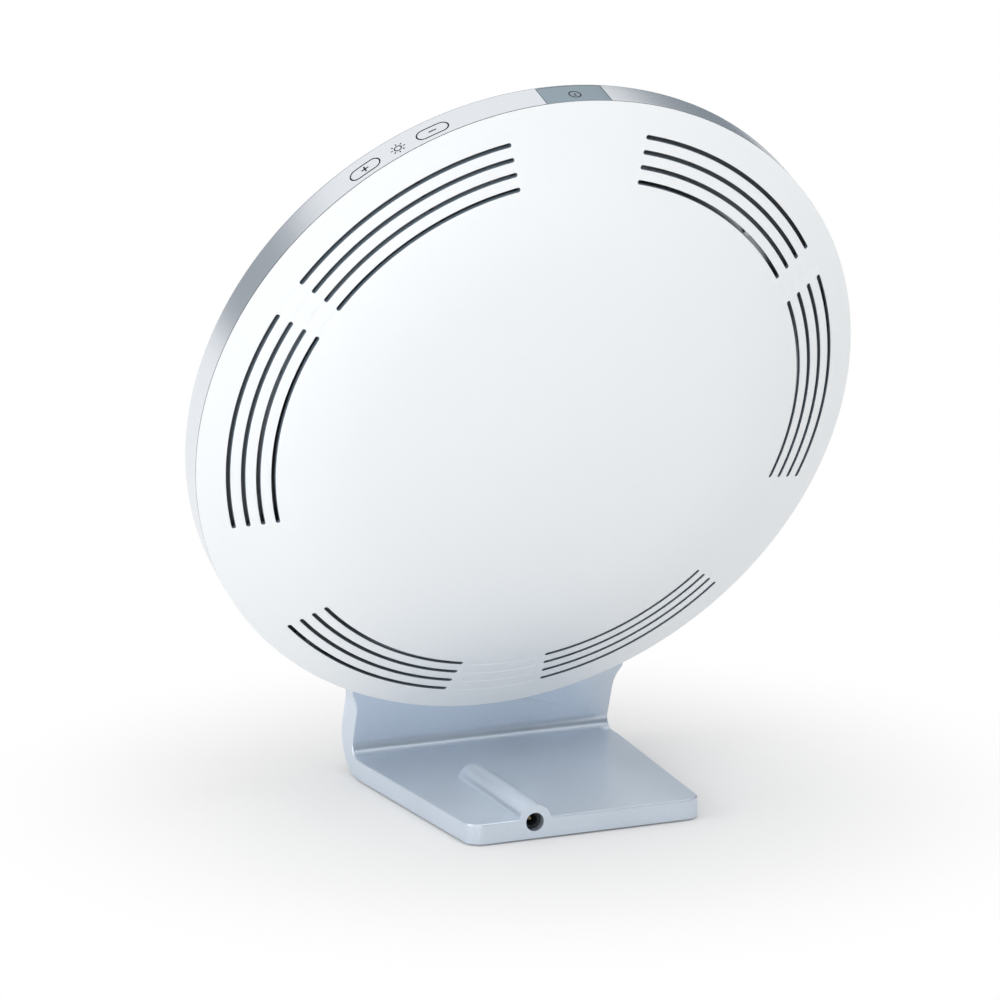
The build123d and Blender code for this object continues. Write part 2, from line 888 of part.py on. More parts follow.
def make_driver_chips():
    """Controller and LED driver packages."""
    sizes = (((-8, -6), (9, 9, 1.6)), ((14, -4), (6, 5, 1.5)), ((28, -8), (10, 7, 2.4)))
    parts = []
    for (x, y), (length, width, height) in sizes:
        body = block((-length / 2, length / 2), (-width / 2, width / 2), (0, height))
        parts.append(on_driver(x, y) * body)
    return solids_of(parts)


def header_points():
    """Plug-in headers on the driver board: power, brightness keys, power key, LEDs."""
    y = driver_height / 2 - header_inset
    return {
        "power": (-inlet_x, -y),
        "brightness": (-driver_length / 4, y),
        "key": (0.0, y),
        "led": (0.0, -y),
    }


def make_driver_headers():
    """Four plug-in headers with their plugs."""
    x, y = header_length / 2, header_width / 2
    shell = block((-x, x), (-y, y), (0, header_height))
    return solids_of(on_driver(*point) * shell for point in header_points().values())


# ---------------------------------------------------------------- stand
def upright_point(depth, height):
    """World (y, z) on a plane of the upright at a head depth, at a world height."""
    v = (height - head_height + depth * sin(tilt)) / cos(tilt)
    return (head_y + v * sin(tilt) + depth * cos(tilt), height)


def inner_bend_centre():
    """World (y, z) of the centre of the bend between the upright's back and the foot's top."""
    return upright_point(rim_width + inner_bend_radius, foot_top + inner_bend_radius)


def flare_centre():
    """Head x, y of the centre of the flare that runs from the stand's side into the rim."""
    x = foot_front_width / 2 + flare_radius
    return x, -sqrt((seat_radius + flare_radius) ** 2 - x**2)


def flare_touch():
    """Head x, y of the point where the flare's circle touches the rim's seat."""
    share = seat_radius / (seat_radius + flare_radius)
    return [share * value for value in flare_centre()]


def upright_cut():
    """World height at which the stand's side section ends, above its flares' tips."""
    return head_point(0, flare_touch()[1] + 2 * flare_radius, 0).Z


def stand_face(front, rear, end):
    """Side section of the L-shaped stand with its front, rear and end faces moved inwards."""
    top, bottom = foot_top - rear, foot_bottom + front
    height = upright_cut()
    corners = (
        upright_point(rim_width - rear, height),
        upright_point(rim_width - rear, top),
        (foot_rear - end, top),
        (foot_rear - end, bottom),
        upright_point(upright_front_depth + front, bottom),
        upright_point(upright_front_depth + front, height),
    )
    face = make_face(Polyline(*corners, close=True))
    for index, radius in ((1, inner_bend_radius + rear), (4, outer_bend_radius - front)):
        vertex = face.vertices().sort_by_distance(Vector(*corners[index]))[0]
        face = fillet(vertex, radius)
    return face


def straight_end():
    """World y at which the foot's straight sides end and its taper begins."""
    return foot_heel + foot_straight


def foot_taper():
    """Half width that the foot loses per millimetre behind its straight sides."""
    return (foot_front_width - foot_rear_width) / 2 / (foot_rear - straight_end())


def foot_half_width(y):
    """Half width of the foot at a world y."""
    return foot_front_width / 2 - max(0.0, y - straight_end()) * foot_taper()


def plan_waste(inset):
    """Region of the table beside and behind the foot, past its straight sides."""
    half_rear = foot_rear_width / 2 - inset
    rear = foot_rear - inset
    start = straight_end() - 2 * foot_corner_radius
    half_start = half_rear + foot_taper() * (rear - start)
    corners = ((half_start, start), (half_rear, rear), (-half_rear, rear), (-half_start, start))
    plan = make_face(Polyline(*corners, close=True))
    plan = fillet(plan.vertices().group_by(Axis.Y)[-1], foot_corner_radius - inset)
    length = foot_rear - start
    around = Rectangle(2 * foot_front_width, length, align=(Align.CENTER, Align.MIN))
    return Pos(0, start + foot_corner_radius) * around - plan


def flare_void(inset):
    """Flat region beside the upright, seen along the head axis: it flares into the rim."""
    half = foot_front_width / 2
    radius = flare_radius + inset
    centre_x, centre_y = flare_centre()
    curvature = 1 / flare_radius + 1 / seat_radius
    tip_x = flare_touch()[0] - sqrt(2 * flare_tip / curvature) - inset
    sweep_angle = degrees(acos((centre_x - tip_x) / radius))
    flare = CenterArc((centre_x, centre_y), radius, 180, -sweep_angle)
    low, high, far = -2 * seat_radius, -seat_radius / 2, foot_front_width * 2
    outline = Polyline(
        flare @ 1,
        (tip_x, high),
        (far, high),
        (far, low),
        (half - inset, low),
        flare @ 0,
    )
    return make_face(flare + outline)


def stand_layer(outer, inner, inset):
    """Solid between two side sections, kept a distance inside the stand's sides."""
    half = foot_front_width
    layer = extrude(Plane.YZ * stand_face(*outer), half, both=True)
    if inner:
        layer -= extrude(Plane.YZ * stand_face(*inner), half + 10, both=True)
    layer -= extrude(plan_waste(inset), foot_top + 1)
    side = Pos(0, 0, -2 * rim_width) * extrude(flare_void(inset), 5 * rim_width)
    for void in (side, mirror(side, Plane.YZ)):
        layer -= head * void
    return layer


def rim_seat(inset):
    """Round body that hollows the top of the upright to the rim's curve."""
    return head * disc(seat_radius + inset, -2 * rim_width, 3 * rim_width)


def tunnel_bar(radius, front_y, rear_y):
    """Round bar on the inlet's axis between two world y positions."""
    align = (Align.CENTER, Align.CENTER, Align.MIN)
    bar = Rot(-90, 0, 0) * Cylinder(radius, rear_y - front_y, align=align)
    return Pos(inlet_x, front_y, inlet_z) * bar


def rubber_foot_places():
    """World x, y of the four rubber feet."""
    front = foot_heel + outer_bend_radius + rubber_foot_gap + rubber_foot_radius
    rear = foot_rear - rubber_foot_rear
    return [
        (side * (foot_half_width(y) - rubber_foot_margin), y)
        for y in (front, rear)
        for side in (-1, 1)
    ]


def cover_screw_places():
    """World x, y of the six screws of the stand cover."""
    front = rubber_foot_places()[0][1] + cover_screw_pitch
    rear = foot_rear - cover_screw_rear
    return [
        (side * (foot_half_width(y) - cover_screw_margin), y)
        for y in (front, (front + rear) / 2, rear)
        for side in (-1, 1)
    ]


def bracket_foot_end():
    """World y at which the bracket's foot ends."""
    return foot_heel + bracket_foot_reach


def bracket_boss_places():
    """World x, y of the bosses that the bracket's foot sits on."""
    return [
        (side * bracket_hole_x, foot_heel + reach)
        for reach in bracket_foot_holes
        for side in (-1, 1)
    ]


def on_rear_border(edge):
    """True for edges of the stand's rear and top faces that run along its border."""
    middle = edge @ 0.5
    local = head.to_local_coords(middle)
    bend_y, bend_z = inner_bend_centre()
    bend_miss = abs(sqrt((middle.Y - bend_y) ** 2 + (middle.Z - bend_z) ** 2) - inner_bend_radius)
    on_bend = bend_miss < 0.05 and middle.Z < bend_z and middle.Y < bend_y
    on_upright = abs(local.Z - rim_width) < 0.05
    on_top = abs(middle.Z - foot_top) < 0.05
    across = abs(middle.X) < 1 and middle.Y < foot_rear - 1
    above_tip = local.Y > flare_touch()[1]
    return (on_bend or on_upright or on_top) and not (across or above_tip)


def blind_boss(x, y, radius, low):
    """Boss that hangs from the foot's ceiling down to a world height."""
    align = (Align.CENTER, Align.CENTER, Align.MIN)
    return Pos(x, y, low) * Cylinder(radius, foot_ceiling + stand_wall / 4 - low, align=align)


def make_stand_shell():
    """Visible moulding of the stand: foot top, upright back, side walls and inlet tunnel."""
    shell = stand_layer((0, 0, 0), None, 0)
    shell = fillet(shell.edges().filter_by(on_rear_border), foot_edge_radius)
    hollow = stand_layer((-4 * stand_wall, stand_wall, stand_wall), None, stand_wall)
    shell -= hollow - rim_seat(stand_wall)
    shell -= rim_seat(0)
    shell -= head * neck_slot(stand_fit)
    tunnel = tunnel_bar(tunnel_radius, tunnel_front, foot_rear)
    tunnel = fillet(tunnel.edges().group_by(Axis.Y)[0], tunnel_edge_radius)
    side = foot_front_width
    shell += tunnel & block((0, side), (-side, side), (foot_ceiling, 3 * foot_top))
    shell += block(
        (inlet_x - tunnel_radius, inlet_x + tunnel_radius),
        (jack_face_y, foot_rear - stand_wall / 2),
        (cover_top + jack_clearance, foot_top - stand_wall / 2),
    )
    for x, y in cover_screw_places():
        shell += blind_boss(x, y, cover_boss_radius, cover_top)
        depth = 2 * (foot_ceiling - cover_top)
        shell -= Pos(x, y, cover_top) * Cylinder(screw_radius + screw_fit, depth)
    for x, y in bracket_boss_places():
        shell += blind_boss(x, y, bracket_boss_radius, bracket_foot_top)
        pilot = Cylinder(screw_radius + screw_fit, 2 * bracket_pilot_depth)
        shell -= Pos(x, y, bracket_foot_top) * pilot
    shell -= tunnel_bar(recess_radius, jack_face_y - 1, foot_rear + 1)
    pocket_front = jack_front_y - jack_shoulder
    shell -= tunnel_bar(jack_radius + jack_clearance, pocket_front, jack_face_y)
    shell -= tunnel_bar(lead_channel_radius, channel_front, jack_face_y)
    shell -= block(
        (inlet_x - lead_channel_radius, inlet_x + lead_channel_radius),
        (channel_front, pocket_front + 1),
        (min(foot_ceiling, inlet_z) - 1, inlet_z),
    )
    return shell.solid()


def make_stand_cover():
    """Skin on the upright's front and the foot's underside, with pegs for the ballast."""
    open_side = -2 * stand_wall
    inner = (stand_wall, open_side, open_side)
    inset = stand_wall + stand_fit
    cover = stand_layer((0, 0, 0), inner, inset) - rim_seat(inset)
    align = (Align.CENTER, Align.CENTER, Align.MIN)
    sunk = rubber_foot_thickness - foot_lift
    for x, y in rubber_foot_places():
        cover -= Pos(x, y, foot_bottom) * Cylinder(rubber_foot_radius, 2 * sunk)
    for x, y in cover_screw_places():
        head_hole = Cylinder(screw_head_radius + screw_clearance, 2 * low_head_height)
        cover -= Pos(x, y, foot_bottom) * head_hole
        cover -= Pos(x, y, foot_bottom) * Cylinder(screw_radius + screw_clearance, 4 * stand_wall)
    embed = stand_wall / 4
    peg = Cylinder(peg_radius, ballast_top - cover_top + embed, align=align)
    button = Cylinder(peg_radius + peg_head_rim, peg_head, align=align)
    for x, y in peg_places():
        cover += Pos(x, y, cover_top - embed) * peg
        cover += Pos(x, y, ballast_top) * button
    rest = (jack_front_y + jack_rest_inset, jack_face_y - jack_rest_inset)
    half = jack_rest_width / 2
    cover += block((inlet_x - half, inlet_x + half), rest, (cover_top - embed, inlet_z - jack_radius))
    return cover


def peg_places():
    """World x, y of the pegs that hold the ballast plate."""
    x = ballast_length / 2 - peg_inset
    y = ballast_depth / 2 - peg_inset
    return [(side * x, ballast_middle + end * y) for side in (-1, 1) for end in (-1, 1)]


def make_rubber_feet():
    """Four round rubber feet set into the stand's underside."""
    align = (Align.CENTER, Align.CENTER, Align.MIN)
    foot = Cylinder(rubber_foot_radius - rubber_foot_fit, rubber_foot_thickness, align=align)
    foot = chamfer(foot.edges().group_by(Axis.Z)[0], rubber_foot_chamfer)
    return solids_of(Pos(x, y, 0) * foot for x, y in rubber_foot_places())


def make_ballast():
    """Steel plate that weighs the foot down, cleared for the pegs and bracket screws."""
    plate = RectangleRounded(ballast_length, ballast_depth, ballast_corner_radius)
    plate = Pos(0, ballast_middle) * plate
    for x, y in peg_places():
        plate -= Pos(x, y) * Circle(peg_radius + peg_fit)
    for x, y in bracket_boss_places():
        plate -= Pos(x, y) * Circle(screw_head_radius + peg_head_rim)
    return Pos(0, 0, cover_top) * extrude(plate, ballast_top - cover_top)


def make_cover_screws():
    """Six screws from below that hold the stand cover."""
    level = foot_bottom + low_head_height
    shank = foot_ceiling - screw_end_gap - level
    one = Rot(180, 0, 0) * screw(screw_radius, shank, screw_head_radius, low_head_height)
    return solids_of(Pos(x, y, level) * one for x, y in cover_screw_places())


# ---------------------------------------------------------------- bracket
def bracket_side(offset):
    """Side line of the bracket on its rear face, or moved forward by the sheet's thickness."""
    low_depth = bracket_depth + bracket_thickness
    joggle = atan2(bracket_back - low_depth, joggle_start - engine_radius)
    shift = offset * tan(joggle / 2)
    low = head_point(0, -joggle_start - shift, low_depth - offset)
    high = head_point(0, -engine_radius - shift, bracket_back - offset)
    top = head_point(0, -bracket_top, bracket_back - offset)
    corner = upright_point(low_depth - offset, bracket_foot_top - offset)
    end = (bracket_foot_end(), bracket_foot_top - offset)
    return [end, corner, (low.Y, low.Z), (high.Y, high.Z), (top.Y, top.Z)]


def make_bracket():
    """Bent steel strip that joins the foot to the light-engine plate through the neck."""
    rear = bracket_side(0)
    front = bracket_side(bracket_thickness)
    face = make_face(Polyline(*rear, *reversed(front), close=True))
    bends = ((rear[1], bracket_bend_radius), (front[1], bracket_bend_radius + bracket_thickness))
    for point, radius in bends:
        vertex = face.vertices().sort_by_distance(Vector(*point))[0]
        face = fillet(vertex, radius)
    strip = extrude(Plane.YZ * face, bracket_width / 2, both=True)
    strip = fillet(strip.edges().filter_by(on_bracket_corner), bracket_corner_radius)
    clear = Cylinder(screw_radius + screw_clearance, 4 * bracket_thickness)
    for x, y in bracket_boss_places():
        strip -= Pos(x, y, bracket_foot_top) * clear
    for x, y in stud_points():
        strip -= head * Pos(x, y, bracket_back) * clear
    return strip


def on_bracket_corner(edge):
    """True for the four short edges at the strip's ends."""
    middle = edge @ 0.5
    high = head.to_local_coords(middle).Y > -bracket_top - 0.1
    far = middle.Y > bracket_foot_end() - 0.1
    short = edge.length < 1.5 * bracket_thickness
    return (high or far) and abs(middle.X) > bracket_width / 2 - 0.1 and short


def stud_points():
    """Head x, y of the screws that join the bracket to the plate."""
    radii = (engine_radius - stud_low_inset, bracket_top + stud_high_inset)
    return [(side * bracket_hole_x, -radius) for radius in radii for side in (-1, 1)]


def make_bracket_head_screws():
    """Four screws through the bracket into the light-engine plate."""
    shank = bracket_thickness + plate_thickness
    one = screw(screw_radius, shank, screw_head_radius, screw_head_height)
    place = head * Pos(0, 0, bracket_back)
    return solids_of(place * Pos(x, y, 0) * one for x, y in stud_points())


def make_bracket_foot_screws():
    """Four screws through the bracket into the foot's bosses, driven from below."""
    shank = bracket_thickness + bracket_pilot_depth - screw_end_gap
    one = Rot(180, 0, 0) * screw(screw_radius, shank, screw_head_radius, screw_head_height)
    level = bracket_foot_top - bracket_thickness
    return solids_of(Pos(x, y, level) * one for x, y in bracket_boss_places())


# ---------------------------------------------------------------- DC inlet and leads
def make_dc_jack():
    """Barrel-jack body with its bore, seated behind the recess."""
    body = tunnel_bar(jack_radius, jack_front_y, jack_face_y)
    bore_floor = jack_face_y - jack_bore_depth
    body -= tunnel_bar(jack_bore_radius, bore_floor, jack_face_y + 1)
    body -= tunnel_bar(jack_pin_radius, bore_floor - jack_floor, jack_face_y)
    return body


def make_dc_jack_pin():
    """Centre contact of the barrel jack."""
    start = jack_face_y - jack_bore_depth - jack_floor
    pin = tunnel_bar(jack_pin_radius, start, start + jack_pin_length)
    return chamfer(pin.edges().group_by(Axis.Y)[-1], jack_pin_radius / 3)


def in_head(x, y, z):
    """World coordinates of a head-frame point, as a tuple for a lead's route."""
    return tuple(head_point(x, y, z))


def make_power_lead():
    """Lead from the jack through the tunnel, foot, upright and neck to the driver board."""
    x = inlet_x
    board_y = driver_rise + header_points()["power"][1] - header_width / 2
    board_z = driver_back + header_height / 2
    turn = upright_point(neck_middle, lead_level)
    plate_z = plate_back + lead_rise + lead_diameter / 2
    points = (
        (x, jack_front_y, inlet_z),
        (x, channel_front + 9 * lead_diameter, inlet_z),
        (x, channel_front, lead_level),
        (x, *turn),
        in_head(-x, -wall_inner_radius + lead_neck_inset, neck_middle),
        in_head(-x, -engine_radius + lead_setback, plate_z),
        in_head(-x, board_y - 3 * lead_diameter, board_z),
        in_head(-x, board_y, board_z),
    )
    return tube(points, (20, 20, 10, 8, 8, 20), lead_diameter)


def make_key_lead(angle, header):
    """Thin lead from a key board over the tray to a header on the driver board."""
    side = radians(angle)

    def rim_point(y, z):
        """Head-frame point on the middle line of the key group."""
        return in_head(-y * sin(side), y * cos(side), z)

    header_x, header_y = header_points()[header]
    end = (header_x, driver_rise + header_y + header_width / 2, driver_back + header_height / 2)
    board_z = key_depth + ribbon_offset
    points = (
        rim_point(key_board_inner, board_z),
        rim_point(key_board_inner - ribbon_stub, board_z),
        rim_point(engine_radius - lead_setback, plate_back + ribbon_offset),
        in_head(end[0], end[1] + 4 * ribbon_diameter, end[2]),
        in_head(*end),
    )
    return tube(points, (5, 12, 10), ribbon_diameter)


def make_led_lead():
    """Lead from the driver board through the plate's middle hole to the LED boards."""
    start_y = driver_rise + header_points()["led"][1] - header_width / 2
    board_z = driver_back + header_height / 2
    near = board_front - ribbon_diameter / 2 - ribbon_gap
    points = (
        in_head(0, start_y, board_z),
        in_head(0, 0, board_z),
        in_head(0, 0, near),
        in_head(0, led_terminal_radius - link_width / 2, near),
    )
    return tube(points, (5, 5), ribbon_diameter)


# ---------------------------------------------------------------- nodes
def head_nodes():
    """Sub-parts modelled in the head frame."""
    keys = key_offsets()
    return {
        "rear_cover": make_rear_cover(),
        "front_frame": make_front_frame(),
        "diffuser": make_diffuser(),
        "diffuser_gasket": make_diffuser_gasket(),
        "reflector_tray": make_reflector_tray(),
        "tray_screws": make_tray_screws(),
        "led_plate": make_led_plate(),
        "led_plate_screws": make_led_plate_screws(),
        "led_boards": make_led_boards(),
        "led_chips": make_led_chips(),
        "board_links": make_board_links(),
        "led_board_screws": make_led_board_screws(),
        "driver_board": make_driver_board(),
        "driver_standoffs": make_driver_standoffs(),
        "driver_screws": make_driver_screws(),
        "driver_coil": make_driver_coil(),
        "driver_capacitors": make_driver_capacitors(),
        "driver_chips": make_driver_chips(),
        "driver_headers": make_driver_headers(),
        "power_key": make_power_key(),
        "plus_key": make_oval_key("plus"),
        "minus_key": make_oval_key("minus"),
        "power_key_board": make_key_board(0),
        "brightness_key_board": make_key_board(brightness_angle),
        "key_board_screws": make_key_board_screws(),
        "power_switch": make_switch(0, 0),
        "plus_switch": make_switch(brightness_angle, keys["plus"]),
        "minus_switch": make_switch(brightness_angle, keys["minus"]),
        "power_plunger": make_plunger(0, 0),
        "plus_plunger": make_plunger(brightness_angle, keys["plus"]),
        "minus_plunger": make_plunger(brightness_angle, keys["minus"]),
    }


def world_nodes():
    """Sub-parts modelled in the world frame."""
    return {
        "stand_shell": make_stand_shell(),
        "stand_cover": make_stand_cover(),
        "stand_bracket": make_bracket(),
        "bracket_head_screws": make_bracket_head_screws(),
        "bracket_foot_screws": make_bracket_foot_screws(),
        "cover_screws": make_cover_screws(),
        "ballast_plate": make_ballast(),
        "rubber_feet": make_rubber_feet(),
        "dc_jack": make_dc_jack(),
        "dc_jack_pin": make_dc_jack_pin(),
        "power_lead": make_power_lead(),
        "power_key_lead": make_key_lead(0, "key"),
        "brightness_key_lead": make_key_lead(brightness_angle, "brightness"),
        "led_lead": make_led_lead(),
    }


def main():
    """Write every sub-part to its own STEP file."""
    os.makedirs("parts", exist_ok=True)
    nodes = {name: head * shape for name, shape in head_nodes().items()}
    nodes.update(world_nodes())
    for name, shape in nodes.items():
        export_step(shape, f"parts/{name}.step")


if __name__ == "__main__":
    main()
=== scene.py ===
import json
from collections import namedtuple
from math import asin, cos, pi, radians, sin, sqrt, tan

import bmesh
import bpy
from mathutils import Matrix, Vector


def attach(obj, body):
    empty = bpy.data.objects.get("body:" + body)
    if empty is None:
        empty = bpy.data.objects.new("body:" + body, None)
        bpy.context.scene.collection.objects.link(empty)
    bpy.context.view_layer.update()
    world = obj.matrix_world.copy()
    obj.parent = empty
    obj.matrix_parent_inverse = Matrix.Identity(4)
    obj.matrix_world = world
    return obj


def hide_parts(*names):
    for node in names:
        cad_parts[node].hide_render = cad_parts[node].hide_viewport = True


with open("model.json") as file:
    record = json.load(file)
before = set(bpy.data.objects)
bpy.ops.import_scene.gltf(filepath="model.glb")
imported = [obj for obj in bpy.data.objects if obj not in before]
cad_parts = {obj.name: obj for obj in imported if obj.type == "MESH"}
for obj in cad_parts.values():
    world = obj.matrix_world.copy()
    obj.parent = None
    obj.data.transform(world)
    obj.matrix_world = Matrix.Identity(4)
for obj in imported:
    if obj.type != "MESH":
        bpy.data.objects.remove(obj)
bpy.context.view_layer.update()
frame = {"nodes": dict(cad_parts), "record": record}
nodes = frame["nodes"]
MM = 0.001

# ------------------------------------------------------------------ driving dimensions, mm
# Head frame: x right as seen from behind, y up the panel, z straight back. Angles run from the
# top towards world +X.
HEAD_TILT = radians(20.0)
HEAD_CENTRE = (0.0, -14.649, 216.303)
HEAD_RADIUS = 186.0
RIM_WIDTH = 20.0
RIM_WALL = 2.5
RIM_EDGE_RADIUS = 3.0
RIM_SEAM_ROUND = 0.3
BEZEL_RADIUS = 172.0
BEZEL_THICKNESS = 2.2
BEZEL_CHAMFER = 0.8
SEAM_GAP = 0.25
SEAM_DEPTH = 1.4

# Rear cover
COVER_WALL = 2.5
CONE_ANGLE = radians(20.8)
CONE_RADIUS = 146.0
DOME_RADIUS = 98.0
DOME_CURVE = 900.0
VENT_OUTER_RADIUS = 170.4
VENT_PITCH = 7.3
VENT_ROWS = 4
VENT_HALF_WIDTH = 1.1
VENT_ROUND = 0.3
VENT_ARCS = ((12.7, 56.7), (63.3, 107.3), (132.7, 170.6))
GROOVE_ARCS = ((57.9, 62.1), (172.2, 187.8), (297.9, 302.1))
GROOVE_DEPTH = 0.15

# Stand
EDGE_SOFTNESS = 1.2
EDGE_STEPS = 3
EDGE_ANGLE = radians(32)
WELD_DISTANCE = 0.02

# Keys
KEY_DEPTH = 12.6
KEY_LENGTH = 17.8
KEY_HEIGHT = 8.1
KEY_GAP = 0.35
KEY_ROUND = 0.25
KEY_FLANGE = 1.0
KEY_REST_GAP = 0.15
KEY_SEAT_RADIUS = 179.6
KEYS_ANGLE = radians(30.15)
KEYS_HALF_PITCH = radians(6.05)
POWER_HALF_ANGLE = radians(5.6)
POWER_FLANGE_ANGLE = radians(1.2)
POWER_FLANGE_THICKNESS = 1.2
NECK_HALF_WIDTH = 34.0
NECK_FRONT = 9.0
NECK_REAR = 17.0

# Printed marks
PLUS_ANGLE = KEYS_ANGLE + KEYS_HALF_PITCH
MINUS_ANGLE = KEYS_ANGLE - KEYS_HALF_PITCH
INK_LIFT = 0.03
INK_SINK = 0.12
INK_SECTION = ((-1, -INK_SINK), (-1, INK_LIFT), (1, INK_LIFT), (1, -INK_SINK))
SIGN_REACH = 2.1
SIGN_WIDTH = 0.95
POWER_MARK_RADIUS = 3.1
POWER_MARK_WIDTH = 0.8
POWER_MARK_BAR = (-0.9, 1.7)
SUN_RADIUS = 1.9
SUN_WIDTH = 0.7
SUN_RAYS = 8
SUN_RAY_START = 2.9
SUN_RAY_END = 4.1

# Grid steps of the modelled meshes
COLUMN_STEP = radians(1.0)
CAP_STEPS = 4
OVAL_STEPS = 4
POWER_STEPS = 6
NECK_STEPS = 10
EDGE_ROUND_STEPS = 6
# rows of the rim's seam edge that carry painted shade
SHADED_SEAM_ROWS = 2
POWER_KEY_STEPS = 8
RING_STEPS = 40
BAR_STEPS = 3
CENTRE_RADIUS = 140.0
CENTRE_LINES = (8, 24, 40, 56, 72, 86, DOME_RADIUS, 106, 114, 122, 130, 138, 143)
SHARP_ANGLE = radians(35.0)
HALFWAY = 1 - sin(pi / 4)  # part of a rounding's size that is left at the middle of its arc
TINY = 1e-6

# Surfaces: the broad and fine noise that varies them, and the height of their relief
BROAD_SCALE = 14.0
BROAD_DETAIL = 2.0
FINE_DETAIL = 3.0
NOISE_SHARE = 0.5
ROUGHNESS_SPREAD = 0.03
RELIEF_HEIGHT = 0.02

# Camera: angles round the lamp, distance from what it looks at, lens for its sensor's width
CAMERA_AZIMUTH = radians(157.42)
CAMERA_ELEVATION = radians(12.81)
CAMERA_DISTANCE = 2318.0
CAMERA_TARGET = (19.86, 9.31, 166.0)
CAMERA_LENS = 157.8
CAMERA_SENSOR = 36.0
CAMERA_REACH = 50.0

# Floor, in metres: its reach and colour, and the distances from the lamp over which the eye sees
# it turn from its shaded self to plain white
FLOOR_REACH = 12.0
FLOOR_COLOUR = 0.80
FLOOR_WHITENING = (0.06, 0.32)

# Sky: its light level, the higher one in front of the lamp, and where between the two it turns.
# Mirrors see a grey wall low in front, lower towards +X and far towards -X, and a dim room
# behind. Places are parts of a direction's unit vector.
SKY_LEVEL = 0.57
SKY_FRONT = 1.0
SKY_TURN_Y = (-0.7, 0.1)
WALL_FOOT = (0.20, 0.36)
WALL_TOP = (0.42, 0.64)
WALL_END_Y = (-0.2, 0.3)
WALL_DROP = 0.18
WALL_DROP_X = (-0.1, 0.3)
WALL_SIDE_DROP = 0.3
WALL_SIDE_X = (-0.60, -0.45)
WALL_COLOUR = (0.08, 0.12, 0.16, 1.0)
ROOM_START_Y = (0.05, 0.5)
ROOM_COLOUR = (0.09, 0.11, 0.14, 1.0)

# Lamps: name, place, height that they point at, size in metres, power in watts
STUDIO_LAMPS = (
    ("top", (-0.4, 0.9, 2.0), 0.0, 1.4, 11),
    ("back", (1.2, 2.3, 0.7), 0.1, 1.5, 19),
    ("side", (1.9, 0.2, 0.6), 0.1, 1.4, 14),
)

# Materials: sRGB colour, roughness and what else sets them apart, for each of the record's slots
# and for the painted shade inside the vents
MATERIALS = {
    "white_plastic": ((236, 239, 241), 0.42, {"bump": 0.15, "vary": 0.008}),
    # painted shade: dark grey given to the vent walls and the cover's hidden faces, which are white
    # plastic
    "painted_vent_shade": ((112, 126, 138), 0.55, {}),
    "pearl_plastic": ((222, 226, 231), 0.24, {"metallic": 0.7}),
    "key_silver": ((138, 154, 165), 0.30, {"metallic": 0.5}),
    "stand_silver": (
        (208, 218, 229), 0.36, {"metallic": 0.75, "bump": 0.5, "grain": 1.1, "vary": 0.2}
    ),
    "opal_plastic": ((244, 245, 242), 0.35, {"vary": 0.01}),
    # painted shade: the reflector tray is white plastic, given grey here so the hollow seen through
    # the vents reads dark
    "tray_plastic": ((128, 134, 140), 0.6, {}),
    "foam": ((60, 60, 64), 0.9, {"bump": 0.8}),
    "plate_aluminium": ((190, 193, 197), 0.35, {"metallic": 1.0}),
    "white_board": ((232, 234, 232), 0.4, {}),
    "green_board": ((30, 110, 70), 0.35, {}),
    "led_package": ((245, 226, 150), 0.4, {}),
    "black_plastic": ((28, 30, 33), 0.6, {}),
    "cream_plastic": ((232, 226, 205), 0.5, {}),
    "switch_plastic": ((48, 49, 52), 0.45, {}),
    "ferrite": ((80, 80, 84), 0.55, {}),
    "capacitor_can": ((120, 126, 140), 0.4, {"metallic": 0.8}),
    "screw_steel": ((196, 198, 200), 0.3, {"metallic": 1.0}),
    "sheet_steel": ((180, 184, 188), 0.4, {"metallic": 1.0}),
    "contact_brass": ((150, 132, 92), 0.4, {"metallic": 1.0}),
    "foot_rubber": ((58, 58, 62), 0.8, {"bump": 0.6}),
    "lead_jacket": ((50, 50, 54), 0.5, {}),
}


# ------------------------------------------------------------------ shader helpers
def maths(tree, operation, *values, clamp=False):
    """Math node on values that are numbers or other nodes' outputs."""
    node = tree.nodes.new("ShaderNodeMath")
    node.operation = operation
    node.use_clamp = clamp
    for socket, value in zip(node.inputs, values):
        if isinstance(value, (int, float)):
            socket.default_value = value
        else:
            tree.links.new(value, socket)
    return node.outputs[0]


def spread(tree, value, low, high):
    """Value from low to high as another goes from 0 to 1."""
    node = tree.nodes.new("ShaderNodeMapRange")
    node.inputs["To Min"].default_value = low
    node.inputs["To Max"].default_value = high
    tree.links.new(value, node.inputs["Value"])
    return node.outputs["Result"]


def ramp(tree, value, start, end, falling=False):
    """Smooth step from 0 to 1, or from 1 to 0, as a value goes from start to end."""
    step = tree.nodes.new("ShaderNodeMapRange")
    step.interpolation_type = "SMOOTHSTEP"
    step.inputs["From Min"].default_value = start
    step.inputs["From Max"].default_value = end
    step.inputs["To Min"].default_value = 1.0 if falling else 0.0
    step.inputs["To Max"].default_value = 0.0 if falling else 1.0
    tree.links.new(value, step.inputs["Value"])
    return step.outputs["Result"]


def blend(tree, factor, first, second):
    """Colour between two that are fixed or another node's output."""
    node = tree.nodes.new("ShaderNodeMix")
    node.data_type = "RGBA"
    for name, value in (("Factor", factor), ("A", first), ("B", second)):
        if isinstance(value, tuple):
            node.inputs[name].default_value = value
        else:
            tree.links.new(value, node.inputs[name])
    return node.outputs["Result"]


def mix_shaders(tree, factor, first, second):
    """Shader between two others."""
    node = tree.nodes.new("ShaderNodeMixShader")
    for socket, value in zip(node.inputs, (factor, first, second)):
        tree.links.new(value, socket)
    return node.outputs[0]


